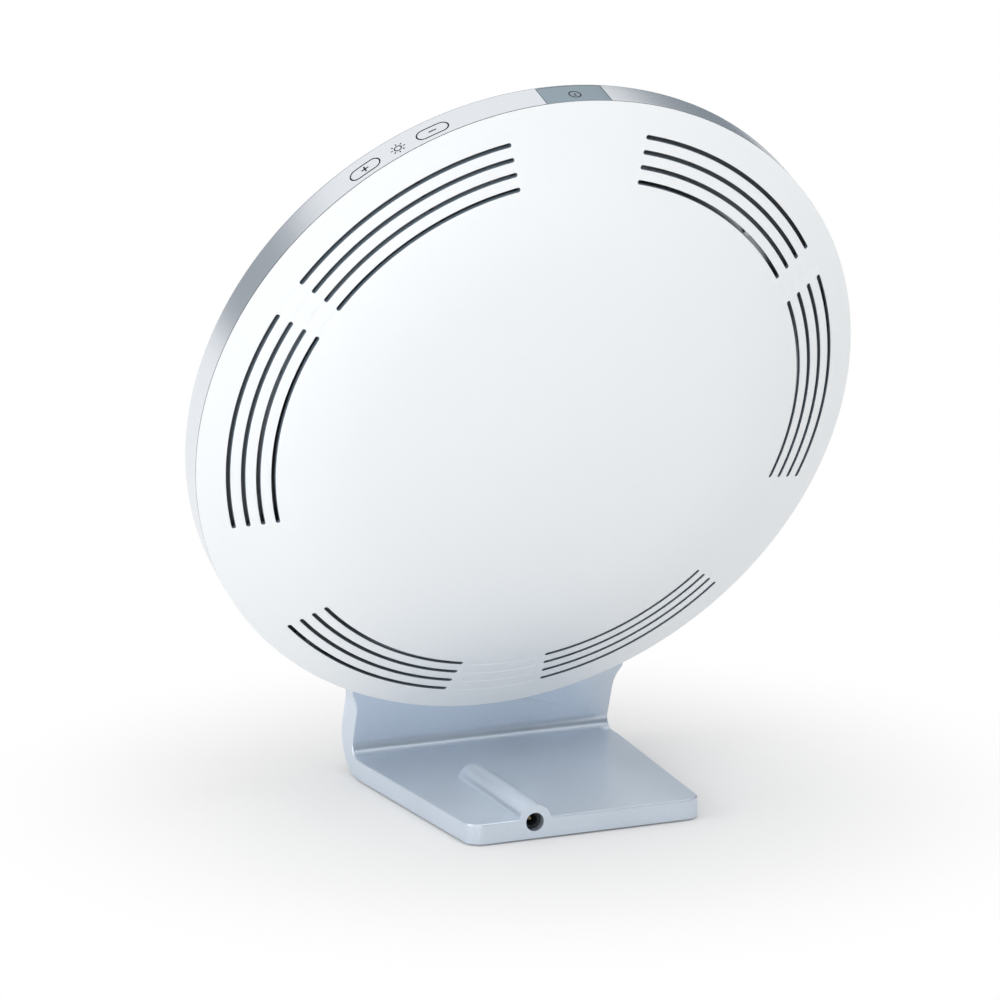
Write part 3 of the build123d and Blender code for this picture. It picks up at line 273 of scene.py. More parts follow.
def noise(tree, place, scale, detail):
    """Noise over the object, 0 to 1."""
    node = tree.nodes.new("ShaderNodeTexNoise")
    node.inputs["Scale"].default_value = scale
    node.inputs["Detail"].default_value = detail
    tree.links.new(place, node.inputs["Vector"])
    return node.outputs["Fac"]


def position(tree, kind):
    """Texture coordinate of a kind."""
    return tree.nodes.new("ShaderNodeTexCoord").outputs[kind]


def direction(tree):
    """Parts X, Y and Z of the direction that a ray looks in."""
    parts = tree.nodes.new("ShaderNodeSeparateXYZ")
    tree.links.new(position(tree, "Generated"), parts.inputs[0])
    return parts.outputs


# ------------------------------------------------------------------ materials
def new_material(name):
    """Empty node material with its shader and output."""
    mat = bpy.data.materials.new(name)
    mat.use_nodes = True
    tree = mat.node_tree
    tree.nodes.clear()
    out = tree.nodes.new("ShaderNodeOutputMaterial")
    shader = tree.nodes.new("ShaderNodeBsdfPrincipled")
    tree.links.new(shader.outputs["BSDF"], out.inputs["Surface"])
    return mat, tree, shader


def srgb(r, g, b):
    """Linear colour of an sRGB colour given in 0 to 255."""
    return tuple(((c / 255 + 0.055) / 1.055) ** 2.4 for c in (r, g, b)) + (1.0,)


def scaled_colour(colour, factor):
    """Colour made lighter or darker."""
    return tuple(min(1.0, c * factor) for c in colour[:3]) + (1.0,)


def finish_material(name, colour, roughness, metallic=0.0, grain=2.0, bump=0.0, vary=0.03):
    """Moulded or painted surface: colour and roughness vary a little, with a fine bump."""
    mat, tree, shader = new_material(name)
    link = tree.links.new
    place = position(tree, "Object")
    fine = noise(tree, place, grain / MM, FINE_DETAIL)
    broad = noise(tree, place, BROAD_SCALE, BROAD_DETAIL)
    both = maths(tree, "MULTIPLY_ADD", fine, NOISE_SHARE, maths(tree, "MULTIPLY", broad, NOISE_SHARE))
    tint = blend(tree, both, scaled_colour(colour, 1 - vary), scaled_colour(colour, 1 + vary))
    link(tint, shader.inputs["Base Color"])
    rough = spread(tree, both, roughness - ROUGHNESS_SPREAD, roughness + ROUGHNESS_SPREAD)
    link(rough, shader.inputs["Roughness"])
    shader.inputs["Metallic"].default_value = metallic
    if bump:
        relief = tree.nodes.new("ShaderNodeBump")
        relief.inputs["Strength"].default_value = bump
        relief.inputs["Distance"].default_value = RELIEF_HEIGHT * MM
        link(fine, relief.inputs["Height"])
        link(relief.outputs["Normal"], shader.inputs["Normal"])
    return mat


def slot_materials():
    """All materials by name."""
    return {
        name: finish_material(name, srgb(*colour), roughness, **more)
        for name, (colour, roughness, more) in MATERIALS.items()
    }


def soften_edges(thing):
    """Rounds the sharp edges of a carried-over node, inner and outer ones alike."""
    weld = thing.modifiers.new("weld", "WELD")
    weld.merge_threshold = WELD_DISTANCE * MM
    rounding = thing.modifiers.new("edges", "BEVEL")
    rounding.width = EDGE_SOFTNESS * MM
    rounding.segments = EDGE_STEPS
    rounding.limit_method = "ANGLE"
    rounding.angle_limit = EDGE_ANGLE
    rounding.harden_normals = True


def paint_nodes(slots):
    """Gives every carried-over node its slot's material, and the stand its soft edges."""
    for entry in frame["record"]["subparts"]:
        thing = nodes[entry["node"]]
        thing.data.materials.clear()
        thing.data.materials.append(slots[entry["material_slot"]])
    soften_edges(nodes["stand_shell"])


# ------------------------------------------------------------------ mesh building
# A column is a row of vertices that runs outwards: its angle, its distance along the rim from
# there, the parts of a slot's reach that it lies across and along the slot, and its slot.
Column = namedtuple("Column", "angle side across along arc")


class Shell:
    """Vertices and faces of one piece, in the head frame and in millimetres."""

    def __init__(self):
        self.points = []
        self.faces = []
        # faces made while the flag below is 1 take a dark material as painted shade
        self.painted_shades = []
        self.tone = 0

    def point(self, place):
        """Adds a vertex and gives its number."""
        self.points.append(place)
        return len(self.points) - 1

    def face(self, *corners):
        """Adds a face, without corners that coincide."""
        kept = [c for i, c in enumerate(corners) if c != corners[i - 1]]
        if len(kept) > 2:
            self.faces.append(kept)
            self.painted_shades.append(self.tone)

    def strip(self, first, second, closed=False):
        """Faces between two rows of as many vertices."""
        last = len(first) if closed else len(first) - 1
        for i in range(last):
            j = (i + 1) % len(first)
            self.face(first[i], first[j], second[j], second[i])

    def rows(self, rows, closed=False):
        """Faces between each two rows in turn."""
        for first, second in zip(rows, rows[1:]):
            self.strip(first, second, closed)

    def bands(self, loops):
        """Faces between each two outlines in turn, each given as its low and its high row."""
        for first, second in zip(loops, loops[1:]):
            for side in (0, 1):
                self.strip(first[side], second[side])


def head_matrix():
    """Turns head-frame millimetres into world metres."""
    s, c = sin(HEAD_TILT), cos(HEAD_TILT)
    turn = Matrix(((-1, 0, 0), (0, s, c), (0, c, -s))).to_4x4()
    place = Matrix.Translation(Vector(HEAD_CENTRE) * MM)
    return place @ turn @ Matrix.Scale(MM, 4)


def tidy_mesh(mesh):
    """Takes loose vertices out and turns all faces outwards."""
    work = bmesh.new()
    work.from_mesh(mesh)
    loose = [v for v in work.verts if not v.link_faces]
    bmesh.ops.delete(work, geom=loose, context="VERTS")
    bmesh.ops.recalc_face_normals(work, faces=work.faces)
    work.to_mesh(mesh)
    work.free()


def finish_piece(name, shell, body, slot, replaced=(), dark="black_plastic"):
    """Makes a smooth-shaded object from a shell, on its body and with its slot's material, and with
    the dark material on its faces of painted shade.
    """
    mesh = bpy.data.meshes.new(name)
    mesh.from_pydata(shell.points, [], shell.faces)
    mesh.polygons.foreach_set("material_index", shell.painted_shades)
    mesh.transform(head_matrix())
    tidy_mesh(mesh)
    mesh.shade_smooth()
    mesh.set_sharp_from_angle(angle=SHARP_ANGLE)
    piece = bpy.data.objects.new(name, mesh)
    bpy.context.scene.collection.objects.link(piece)
    mesh.materials.append(slots[slot])
    if max(shell.painted_shades):
        mesh.materials.append(slots[dark])
    flatten = piece.modifiers.new("flatten", "WEIGHTED_NORMAL")
    flatten.keep_sharp = True
    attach(piece, body)
    if replaced:
        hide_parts(*replaced)


def spot(radius, depth, column, reach=0.0):
    """Head-frame point on a column of a grid round the head axis."""
    side = (column.side + reach * column.along) * min(1.0, radius / CENTRE_RADIUS)
    turn = column.angle + (asin(side / radius) if radius else 0.0)
    return (-radius * sin(turn), radius * cos(turn), depth)


def plain_column(angle, arc=None):
    """Column that lies in no rounded end of a slot."""
    return Column(angle, 0.0, 1.0, 0.0, arc)


def fan_columns(centre, half_angle, steps, arc=None):
    """Plain columns at even steps to both sides of an angle."""
    return [plain_column(centre + half_angle * k / steps, arc) for k in range(-steps, steps + 1)]


def column_angle(column, reach):
    """Angle at which a column meets the rim."""
    return column.angle + (column.side + reach * column.along) / HEAD_RADIUS


def cap_columns(start, start_side, end, end_side, arc):
    """Columns round the two rounded ends of a slot whose end centres are given."""
    turns = [pi / 2 * step / CAP_STEPS for step in range(CAP_STEPS + 1)]
    first = [Column(start, start_side, sin(t), -cos(t), arc) for t in turns]
    last = [Column(end, end_side, cos(t), sin(t), arc) for t in turns]
    return first, last


def arc_columns(start, end, radius, arc):
    """Columns of a slot that follows an arc round the head."""
    first, last = cap_columns(start, radius, end, -radius, arc)
    count = round((end - start) / COLUMN_STEP)
    steps = [start + (end - start) * k / count for k in range(1, count)]
    return first + [plain_column(angle, arc) for angle in steps] + last


def oval_columns(angle, centre, half_length, radius, arc):
    """Columns of an oval opening in the rim, at a distance along it from an angle."""
    reach = half_length - radius
    first, last = cap_columns(angle, centre - reach, angle, centre + reach, arc)
    sides = [centre - reach + 2 * reach * k / OVAL_STEPS for k in range(1, OVAL_STEPS)]
    return first + [Column(angle, side, 1.0, 0.0, arc) for side in sides] + last


def filled(groups, reach):
    """All columns in order: those of the slots, with plain ones in the gaps between them."""
    groups = sorted(groups, key=lambda group: column_angle(group[0], reach))
    result = []
    for index, group in enumerate(groups):
        result += group
        start = column_angle(group[-1], reach)
        following = groups[(index + 1) % len(groups)][0]
        end = column_angle(following, reach)
        if index == len(groups) - 1:
            end += 2 * pi
        count = max(1, round((end - start) / COLUMN_STEP))
        result += [plain_column(start + (end - start) * k / count) for k in range(1, count)]
    return result


def slots_of(columns):
    """Each slot of a grid, with the numbers of its columns."""
    for arc in sorted({column.arc for column in columns if column.arc}):
        yield arc, [i for i, column in enumerate(columns) if column.arc == arc]


# ------------------------------------------------------------------ rear cover
def cover_depth(radius, inset=0.0):
    """Depth of the cover's face at a radius: a shallow dome, a shoulder and a cone."""
    dome_slope = asin(DOME_RADIUS / DOME_CURVE)
    shoulder = (CONE_RADIUS - DOME_RADIUS) / (sin(CONE_ANGLE) - sin(dome_slope))
    base = RIM_WIDTH + SEAM_GAP
    shoulder_z = base + (HEAD_RADIUS - CONE_RADIUS) * tan(CONE_ANGLE) - shoulder * cos(CONE_ANGLE)
    shoulder_r = CONE_RADIUS - shoulder * sin(CONE_ANGLE)
    dome_z = shoulder_z + (shoulder - DOME_CURVE) * cos(dome_slope)
    if radius <= (DOME_CURVE - inset) * sin(dome_slope):
        return dome_z + sqrt((DOME_CURVE - inset) ** 2 - radius**2)
    if radius <= shoulder_r + (shoulder - inset) * sin(CONE_ANGLE):
        return shoulder_z + sqrt((shoulder - inset) ** 2 - (radius - shoulder_r) ** 2)
    return base + (HEAD_RADIUS - inset / sin(CONE_ANGLE) - radius) * tan(CONE_ANGLE)


def cover_columns():
    """Columns of the cover's grid, with its six vent arcs and three groove arcs."""
    arcs = [(start, end, "vent") for start, end in VENT_ARCS]
    arcs += [(360 - end, 360 - start, "vent") for start, end in VENT_ARCS]
    arcs += [(start, end, "groove") for start, end in GROOVE_ARCS]
    groups = [
        arc_columns(radians(start), radians(end), VENT_HALF_WIDTH, (kind, index))
        for index, (start, end, kind) in enumerate(arcs)
    ]
    return filled(groups, VENT_HALF_WIDTH + VENT_ROUND)


def vent_radii():
    """Middle radii of the vent rows, from the innermost."""
    return [VENT_OUTER_RADIUS - row * VENT_PITCH for row in reversed(range(VENT_ROWS))]


def cover_lines(inside, edge):
    """Radii of the grid's lines: plain ones, and each vent row's two sides as (radius, side)."""
    lines = [(radius, 0) for radius in (CENTRE_LINES[::3] if inside else CENTRE_LINES)]
    for radius in vent_radii():
        lines += [(radius, -1), (radius, 1), (radius + VENT_PITCH / 2, 0)]
    return lines + [(edge, 0)]


def row_point(shell, line, column, reach, inset):
    """Vertex of the cover on a line and column, on its face or inside it."""
    radius = line[0] + line[1] * reach * column.across
    return shell.point(spot(radius, cover_depth(radius, inset), column, reach))


def cover_rows(shell, columns, lines, reach, inset):
    """Rows of vertices by line, where a slot's two sides share the tips of its ends."""
    table = {}
    for line in lines:
        row = [row_point(shell, line, column, reach, inset) for column in columns]
        if line[1] > 0:
            below = table[(line[0], -1)]
            row = [b if c.across < TINY else r for r, b, c in zip(row, below, columns)]
        table[line] = row
    return table


def cover_face(shell, columns, inside):
    """One face of the cover: rows of vertices by line, open where the vents are."""
    inset = COVER_WALL if inside else 0.0
    reach = VENT_HALF_WIDTH + (0.0 if inside else VENT_ROUND)
    lines = cover_lines(inside, HEAD_RADIUS - inset / sin(CONE_ANGLE))
    centre = shell.point((0.0, 0.0, cover_depth(0.0, inset)))
    table = cover_rows(shell, columns, lines, reach, inset)
    first = table[lines[0]]
    count = len(columns)
    shell.tone = 1 if inside else 0  # painted shade: the inside face takes the dark vent material so the hollow reads dark through the vents
    for i in range(count):
        shell.face(centre, first[i], first[(i + 1) % count])
    for low, high in zip(lines, lines[1:]):
        for i in range(count):
            j = (i + 1) % count
            slotted = low[1] < 0 and columns[i].arc and columns[i].arc == columns[j].arc
            if slotted and not (inside and columns[i].arc[0] == "groove"):
                continue
            shell.face(table[low][i], table[low][j], table[high][j], table[high][i])
    shell.tone = 0
    return table


def slot_loop(shell, columns, radius, reach, sink):
    """Outline of a vent at a distance outside its own edge and under the cover's face."""
    low, high = [], []
    for column in columns:
        r_low = radius - reach * column.across
        r_high = radius + reach * column.across
        low.append(shell.point(spot(r_low, cover_depth(r_low) - sink, column, reach)))
        if column.across < TINY:
            high.append(low[-1])
        else:
            high.append(shell.point(spot(r_high, cover_depth(r_high) - sink, column, reach)))
    return low, high


def cut_slot(shell, outer, inner, columns, picked, radius):
    """Rounded edge and walls of one vent, or of a blind groove with its floor."""
    kept = [columns[i] for i in picked]

    def sides(table):
        return tuple([table[(radius, side)][i] for i in picked] for side in (-1, 1))

    groove = kept[0].arc[0] == "groove"
    depth = GROOVE_DEPTH if groove else VENT_ROUND
    loops = [sides(outer)]
    for reach, sink in ((VENT_ROUND * HALFWAY, depth * HALFWAY), (0.0, depth)):
        loops.append(slot_loop(shell, kept, radius, VENT_HALF_WIDTH + reach, sink))
    shell.bands(loops)
    if groove:
        shell.strip(*loops[-1])
    else:
        # painted shade: the vent walls below the rounded edge take the dark vent material
        shell.tone = 1
        shell.bands([loops[-1], sides(inner)])
        shell.tone = 0


def make_rear_cover():
    """Domed back with its open vents, blind grooves and stepped edge."""
    shell = Shell()
    columns = cover_columns()
    outer = cover_face(shell, columns, inside=False)
    inner = cover_face(shell, columns, inside=True)
    for _, picked in slots_of(columns):
        for radius in vent_radii():
            cut_slot(shell, outer, inner, columns, picked, radius)
    inner_edge = HEAD_RADIUS - COVER_WALL / sin(CONE_ANGLE)
    lip = HEAD_RADIUS - SEAM_DEPTH
    rows = [outer[(HEAD_RADIUS, 0)]]
    for radius, depth in ((lip, RIM_WIDTH + SEAM_GAP), (lip, RIM_WIDTH), (inner_edge, RIM_WIDTH)):
        rows.append([shell.point(spot(radius, depth, c, VENT_HALF_WIDTH)) for c in columns])
    rows.append(inner[(inner_edge, 0)])
    # painted shade: the stepped edge and its inner rows take the dark vent material
    shell.tone = 1
    shell.rows(rows, closed=True)
    finish_piece("rear_cover_shell", shell, "lamp", "white_plastic", ["rear_cover"], dark="painted_vent_shade")


# ------------------------------------------------------------------ front frame
# A line of the rim's section: its radius and depth, or its side of the openings, which set its
# depth column by column.
Line = namedtuple("Line", "radius depth side", defaults=(0,))


def frame_columns():
    """Columns of the rim's grid, with the key openings and the neck opening."""
    distance = HEAD_RADIUS * sin(KEYS_HALF_PITCH)
    power = fan_columns(0.0, POWER_HALF_ANGLE, POWER_STEPS, ("power", 0))
    neck = fan_columns(pi, asin(NECK_HALF_WIDTH / HEAD_RADIUS), NECK_STEPS, ("neck", 0))
    ovals = [
        oval_columns(KEYS_ANGLE, side * distance, KEY_LENGTH / 2, KEY_HEIGHT / 2, ("oval", side))
        for side in (-1, 1)
    ]
    return filled([power, neck] + ovals, KEY_HEIGHT / 2 + KEY_ROUND)


def frame_lines():
    """Lines of the rim's section, from the seam over the outside and the bezel back inside."""
    edge = RIM_EDGE_RADIUS
    seam = RIM_SEAM_ROUND
    inner = HEAD_RADIUS - RIM_WALL
    lines = [
        Line(HEAD_RADIUS - seam, RIM_WIDTH),
        Line(HEAD_RADIUS - seam * HALFWAY, RIM_WIDTH - seam * HALFWAY),
        Line(HEAD_RADIUS, RIM_WIDTH - seam),
        Line(HEAD_RADIUS, None, 1),
        Line(HEAD_RADIUS, None, -1),
        Line(HEAD_RADIUS, edge),
    ]
    for step in range(1, EDGE_ROUND_STEPS + 1):
        turn = pi / 2 * step / EDGE_ROUND_STEPS
        lines.append(Line(HEAD_RADIUS - edge * (1 - cos(turn)), edge * (1 - sin(turn))))
    return lines + [
        Line(BEZEL_RADIUS + BEZEL_CHAMFER, 0.0),
        Line(BEZEL_RADIUS, BEZEL_CHAMFER),
        Line(BEZEL_RADIUS, BEZEL_THICKNESS),
        Line(inner, BEZEL_THICKNESS),
        Line(inner, edge),
        Line(inner, None, -1),
        Line(inner, None, 1),
        Line(inner, RIM_WIDTH),
    ]


def opening_depth(column, side, reach):
    """Depth of an opening's edge on a column: an oval's, or the neck's straight one."""
    if column.arc and column.arc[0] == "neck":
        return NECK_REAR if side > 0 else NECK_FRONT
    return KEY_DEPTH + side * reach * column.across


def frame_rows(shell, columns, lines):
    """Rows of vertices by line, where an oval's two sides share the tips of its ends."""
    table = []
    for index, line in enumerate(lines):
        outside = line.radius > HEAD_RADIUS - RIM_WALL
        reach = KEY_HEIGHT / 2 + (KEY_ROUND if outside else 0.0)
        second_side = line.side and lines[index - 1].side
        row = []
        for i, column in enumerate(columns):
            if second_side and column.across < TINY:
                row.append(table[-1][i])
                continue
            depth = opening_depth(column, line.side, reach) if line.side else line.depth
            row.append(shell.point(spot(line.radius, depth, column, reach)))
        table.append(row)
    return table


def frame_band(shell, columns, lines, table, front, floor):
    """Faces between the section's lines, open at the keys and the neck."""
    count = len(columns)
    for m, line in enumerate(lines):
        n = (m + 1) % len(lines)
        in_opening = line.side and lines[n].side
        in_power = m < front or m >= floor
        shell.tone = 1 if m < SHADED_SEAM_ROWS else 0  # painted shade: the seam's edge rows take the dark material so the gap reads as a dark line
        for i in range(count):
            j = (i + 1) % count
            arc = columns[i].arc if columns[i].arc == columns[j].arc else None
            kind = arc[0] if arc else None
            if (in_opening and kind in ("oval", "neck")) or (in_power and kind == "power"):
                continue
            shell.face(table[m][i], table[m][j], table[n][j], table[n][i])
    shell.tone = 0


def power_opening(shell, picked, table, front, floor):
    """Ends of the power key's notch in the rim, and its floor behind the front edge."""
    for i in (picked[0], picked[-1]):
        rim = [row[i] for row in table[front::-1]]
        wall = [row[i] for row in table[: floor - 1 : -1]]
        shell.face(*rim, *wall)
    shell.strip([table[front][i] for i in picked], [table[floor][i] for i in picked])


def key_loop(shell, columns, radius, reach, flat=False):
    """Oval outline across the rim at a radius, or in a flat plane at that distance."""
    low, high = [], []
    for column in columns:
        side = column.side + reach * column.along
        distance = sqrt(radius**2 + side**2) if flat else radius
        low.append(shell.point(spot(distance, KEY_DEPTH - reach * column.across, column, reach)))
        if column.across < TINY:
            high.append(low[-1])
        else:
            place = spot(distance, KEY_DEPTH + reach * column.across, column, reach)
            high.append(shell.point(place))
    return low, high


def oval_opening(shell, columns, outer, inner):
    """Rounded edge and walls of an oval opening, given the dark material as painted shade so that they
    read as a dark line.
    """
    loops = [outer]
    for grow, sink in ((KEY_ROUND * HALFWAY, KEY_ROUND * HALFWAY), (0.0, KEY_ROUND)):
        loops.append(key_loop(shell, columns, HEAD_RADIUS - sink, KEY_HEIGHT / 2 + grow))
    # painted shade: the opening's edge and walls take the dark material
    shell.tone = 1
    shell.bands(loops + [inner])
    shell.tone = 0


def make_front_frame():
    """Rim band and bezel in one moulding, open for the keys and the neck."""
    shell = Shell()
    columns = frame_columns()
    lines = frame_lines()
    table = frame_rows(shell, columns, lines)
    front = lines.index(Line(HEAD_RADIUS, RIM_EDGE_RADIUS))
    floor = lines.index(Line(HEAD_RADIUS - RIM_WALL, RIM_EDGE_RADIUS))
    frame_band(shell, columns, lines, table, front, floor)
    outer_high, outer_low, inner_low, inner_high = (
        row for row, line in zip(table, lines) if line.side
    )
    for arc, picked in slots_of(columns):
        if arc[0] == "power":
            power_opening(shell, picked, table, front, floor)
            continue
        outer = [[row[i] for i in picked] for row in (outer_low, outer_high)]
        inner = [[row[i] for i in picked] for row in (inner_low, inner_high)]
        if arc[0] == "oval":
            oval_opening(shell, [columns[i] for i in picked], outer, inner)
            continue
        for i in (picked[0], picked[-1]):
            shell.face(outer_low[i], outer_high[i], inner_high[i], inner_low[i])
        shell.bands([outer, inner])
    finish_piece("front_frame_shell", shell, "lamp", "pearl_plastic", ["front_frame"])


# ------------------------------------------------------------------ keys
def make_oval_key(name, side):
    """Plus or minus key: a flush oval cap on its flange, whose rounded edge and sides carry painted
    shade in the dark material.
    """
    shell = Shell()
    half = KEY_HEIGHT / 2 - KEY_GAP
    centre = side * HEAD_RADIUS * sin(KEYS_HALF_PITCH)
    columns = oval_columns(KEYS_ANGLE, centre, KEY_LENGTH / 2 - KEY_GAP, half, ("key", side))
    flange = KEY_HEIGHT / 2 + KEY_FLANGE
    inner = HEAD_RADIUS - RIM_WALL - KEY_REST_GAP
    rings = (
        (HEAD_RADIUS, half - KEY_ROUND, False),
        (HEAD_RADIUS - KEY_ROUND * HALFWAY, half - KEY_ROUND * HALFWAY, False),
        (HEAD_RADIUS - KEY_ROUND, half, False),
        (inner, half, False),
        (inner, flange, False),
        (KEY_SEAT_RADIUS, flange, True),
    )
    loops = [key_loop(shell, columns, *ring) for ring in rings]
    # painted shade: the key's rounded edge and sides take the dark material
    shell.tone = 1
    shell.bands(loops[:-1])
    shell.tone = 0
    shell.bands(loops[-2:])
    shell.strip(*loops[0])
    shell.strip(*loops[-1])
    finish_piece(f"{name}_key_cap", shell, f"{name}_button", "pearl_plastic", [f"{name}_key"])


def power_ring(shell, radius, inset, grow_angle):
    """Outline of the power key's sector at a radius, moved in from its edges by an inset."""
    half = POWER_HALF_ANGLE - (KEY_GAP + inset) / HEAD_RADIUS + grow_angle
    front = RIM_EDGE_RADIUS + KEY_GAP + inset
    back = RIM_WIDTH - KEY_GAP / 2 - inset
    columns = fan_columns(0.0, half, POWER_KEY_STEPS)
    low = [shell.point(spot(radius, front, column)) for column in columns]
    high = [shell.point(spot(radius, back, column)) for column in columns]
    return low, high


def make_power_key():
    """Power key: a segment of the rim with rounded edges and a flange at each end."""
    shell = Shell()
    inner = HEAD_RADIUS - RIM_WALL - KEY_REST_GAP
    rings = (
        (HEAD_RADIUS, KEY_ROUND, 0.0),
        (HEAD_RADIUS - KEY_ROUND * HALFWAY, KEY_ROUND * HALFWAY, 0.0),
        (HEAD_RADIUS - KEY_ROUND, 0.0, 0.0),
        (inner, 0.0, 0.0),
        (inner, 0.0, POWER_FLANGE_ANGLE),
        (inner - POWER_FLANGE_THICKNESS, 0.0, POWER_FLANGE_ANGLE),
    )
    loops = [power_ring(shell, *ring) for ring in rings]
    shell.bands(loops)
    for first, second in zip(loops, loops[1:]):
        for end in (0, -1):
            shell.face(first[0][end], first[1][end], second[1][end], second[0][end])
    shell.strip(*loops[0])
    shell.strip(*loops[-1])
    finish_piece("power_key_cap", shell, "power_button", "key_silver", ["power_key"])


# ------------------------------------------------------------------ printed marks
def mark_point(shell, angle, along, across, lift):
    """Vertex on the rim's face, at distances along and across it from a mark's centre."""
    radius = HEAD_RADIUS + lift
    turn = angle + along / HEAD_RADIUS
    return shell.point((-radius * sin(turn), radius * cos(turn), KEY_DEPTH + across))


def mark_ring(shell, angle, radius, width):
    """Printed ring."""
    loops = []
    for reach, lift in INK_SECTION:
        r = radius + reach * width / 2
        turns = [2 * pi * k / RING_STEPS for k in range(RING_STEPS)]
        loops.append([mark_point(shell, angle, r * cos(t), r * sin(t), lift) for t in turns])
    shell.rows(loops + loops[:1], closed=True)


def mark_bar(shell, angle, start, end, width):
    """Printed straight bar between two points."""
    (x0, y0), (x1, y1) = start, end
    length = sqrt((x1 - x0) ** 2 + (y1 - y0) ** 2)
    side = ((y0 - y1) / length * width / 2, (x1 - x0) / length * width / 2)
    rows = []
    for step in range(BAR_STEPS + 1):
        share = step / BAR_STEPS
        x, y = x0 + (x1 - x0) * share, y0 + (y1 - y0) * share
        row = []
        for way, lift in INK_SECTION:
            row.append(mark_point(shell, angle, x + way * side[0], y + way * side[1], lift))
        rows.append(row)
    shell.rows(rows, closed=True)
    shell.face(*rows[0])
    shell.face(*rows[-1])


def make_marks():
    """Plus, minus, power and brightness marks."""
    plus = Shell()
    mark_bar(plus, PLUS_ANGLE, (-SIGN_REACH, 0), (SIGN_REACH, 0), SIGN_WIDTH)
    for way in (-1, 1):
        start = (0, way * SIGN_WIDTH / 2)
        mark_bar(plus, PLUS_ANGLE, start, (0, way * SIGN_REACH), SIGN_WIDTH)
    finish_piece("plus_mark", plus, "plus_button", "black_plastic")
    minus = Shell()
    mark_bar(minus, MINUS_ANGLE, (-SIGN_REACH, 0), (SIGN_REACH, 0), SIGN_WIDTH)
    finish_piece("minus_mark", minus, "minus_button", "black_plastic")
    power = Shell()
    mark_ring(power, 0.0, POWER_MARK_RADIUS, POWER_MARK_WIDTH)
    low, high = POWER_MARK_BAR
    mark_bar(power, 0.0, (0, high), (0, low), POWER_MARK_WIDTH)
    finish_piece("power_mark", power, "power_button", "black_plastic")
    sun = Shell()
    mark_ring(sun, KEYS_ANGLE, SUN_RADIUS, SUN_WIDTH)
    for ray in range(SUN_RAYS):
        turn = 2 * pi / SUN_RAYS * ray
        start, end = (
            (reach * cos(turn), reach * sin(turn)) for reach in (SUN_RAY_START, SUN_RAY_END)
        )
        mark_bar(sun, KEYS_ANGLE, start, end, SUN_WIDTH)
    finish_piece("brightness_mark", sun, "lamp", "black_plastic")


# ------------------------------------------------------------------ stage, light and camera
def is_any(tree, *kinds):
    """Factor that is 1 for rays of the given kinds."""
    path = tree.nodes.new("ShaderNodeLightPath")
    total = path.outputs[kinds[0]]
    for kind in kinds[1:]:
        total = maths(tree, "ADD", total, path.outputs[kind], clamp=True)
    return total


def floor_whiteness(tree):
    """Share of plain white in the floor, which rises with the distance from the lamp."""
    distance = tree.nodes.new("ShaderNodeVectorMath")
    distance.operation = "LENGTH"
    tree.links.new(position(tree, "Object"), distance.inputs[0])
    return ramp(tree, distance.outputs["Value"], *FLOOR_WHITENING)


def make_stage():
    """Floor that is white to the eye away from the lamp and keeps its soft shadow."""
    mesh = bpy.data.meshes.new("floor")
    corners = [(x * FLOOR_REACH, y * FLOOR_REACH, 0) for x, y in ((-1, -1), (1, -1), (1, 1), (-1, 1))]
    mesh.from_pydata(corners, [], [(0, 1, 2, 3)])
    floor = bpy.data.objects.new("floor", mesh)
    bpy.context.scene.collection.objects.link(floor)
    mat, tree, shader = new_material("floor_paint")
    shader.inputs["Base Color"].default_value = (FLOOR_COLOUR,) * 3 + (1.0,)
    shader.inputs["Roughness"].default_value = 1.0
    shader.inputs["Specular IOR Level"].default_value = 0.0
    white = tree.nodes.new("ShaderNodeEmission")
    direct = is_any(tree, "Is Camera Ray", "Is Glossy Ray", "Is Transmission Ray")
    share = maths(tree, "MULTIPLY", direct, floor_whiteness(tree))
    surface = mix_shaders(tree, share, shader.outputs["BSDF"], white.outputs[0])
    tree.links.new(surface, tree.nodes["Material Output"].inputs["Surface"])
    mesh.materials.append(mat)


def sky_strength(tree):
    """Strength of the soft light by direction: fuller from in front of the lamp."""
    front = ramp(tree, direction(tree)["Y"], *SKY_TURN_Y)
    return spread(tree, front, SKY_FRONT, SKY_LEVEL)


def studio_wall(tree):
    """Colour of what mirrors see by direction: white, a grey wall in front, a dim room behind."""
    x, y, height = direction(tree)
    near_side = ramp(tree, x, *WALL_DROP_X)
    far_side = ramp(tree, x, *WALL_SIDE_X, falling=True)
    lowered = maths(tree, "MULTIPLY_ADD", near_side, WALL_DROP, height)
    lowered = maths(tree, "MULTIPLY_ADD", far_side, WALL_SIDE_DROP, lowered)
    foot = ramp(tree, lowered, *WALL_FOOT)
    top = ramp(tree, height, *WALL_TOP, falling=True)
    band = maths(tree, "MULTIPLY", foot, top)
    front = ramp(tree, y, *WALL_END_Y, falling=True)
    wall = blend(tree, maths(tree, "MULTIPLY", band, front), (1.0, 1.0, 1.0, 1.0), WALL_COLOUR)
    return blend(tree, ramp(tree, y, *ROOM_START_Y), wall, ROOM_COLOUR)


def background(tree):
    """White background of strength 1."""
    node = tree.nodes.new("ShaderNodeBackground")
    node.inputs["Color"].default_value = (1.0, 1.0, 1.0, 1.0)
    return node


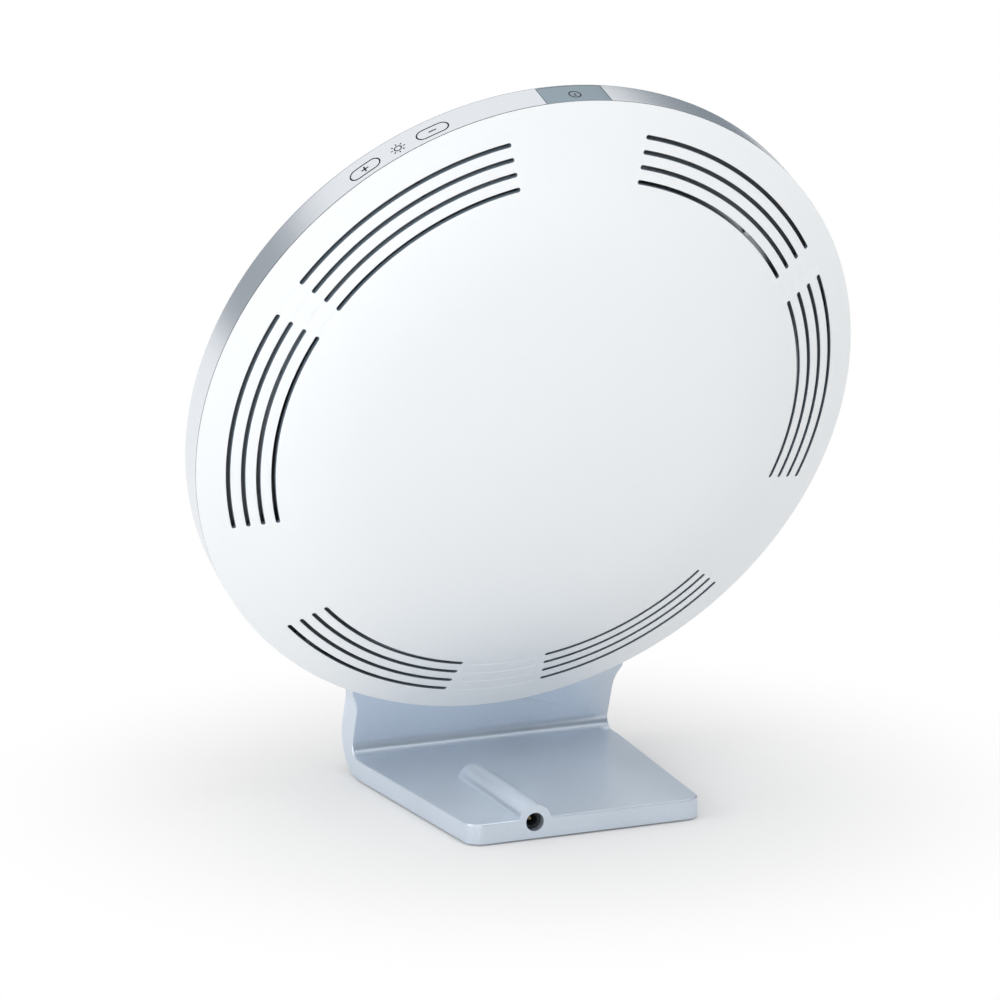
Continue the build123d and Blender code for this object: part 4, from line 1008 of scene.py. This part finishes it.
def make_world():
    """White studio: plain white to the eye, a soft sky to lit surfaces, walls to mirrors."""
    world = bpy.data.worlds.new("studio")
    bpy.context.scene.world = world
    world.use_nodes = True
    tree = world.node_tree
    tree.nodes.clear()
    out = tree.nodes.new("ShaderNodeOutputWorld")
    sky, mirrored, seen = (background(tree) for _ in range(3))
    tree.links.new(sky_strength(tree), sky.inputs["Strength"])
    tree.links.new(studio_wall(tree), mirrored.inputs["Color"])
    lit = mix_shaders(tree, is_any(tree, "Is Glossy Ray"), sky.outputs[0], mirrored.outputs[0])
    direct = is_any(tree, "Is Camera Ray", "Is Transmission Ray")
    tree.links.new(mix_shaders(tree, direct, lit, seen.outputs[0]), out.inputs["Surface"])


def area_light(name, place, height, size, power):
    """Square soft light that points at a height over the lamp's middle."""
    data = bpy.data.lights.new(name, "AREA")
    data.shape = "SQUARE"
    data.size = size
    data.energy = power
    lamp = bpy.data.objects.new(name, data)
    lamp.location = place
    aim = Vector((0, 0, height)) - Vector(place)
    lamp.rotation_euler = aim.to_track_quat("-Z", "Y").to_euler()
    bpy.context.scene.collection.objects.link(lamp)


def make_camera():
    """Camera at the viewing angle that the lamp is shown from."""
    data = bpy.data.cameras.new("camera")
    data.lens = CAMERA_LENS
    data.sensor_width = CAMERA_SENSOR
    data.clip_end = CAMERA_REACH
    camera = bpy.data.objects.new("camera", data)
    level = cos(CAMERA_ELEVATION)
    back = Vector(
        (sin(CAMERA_AZIMUTH) * level, -cos(CAMERA_AZIMUTH) * level, sin(CAMERA_ELEVATION))
    )
    camera.location = (Vector(CAMERA_TARGET) + back * CAMERA_DISTANCE) * MM
    camera.rotation_euler = (-back).to_track_quat("-Z", "Y").to_euler()
    bpy.context.scene.collection.objects.link(camera)
    bpy.context.scene.camera = camera


bpy.context.scene.view_settings.view_transform = "Standard"
make_world()
make_stage()
for studio_lamp in STUDIO_LAMPS:
    area_light(*studio_lamp)
slots = slot_materials()
paint_nodes(slots)
make_rear_cover()
make_front_frame()
make_oval_key("plus", 1)
make_oval_key("minus", -1)
make_power_key()
make_marks()
make_camera()
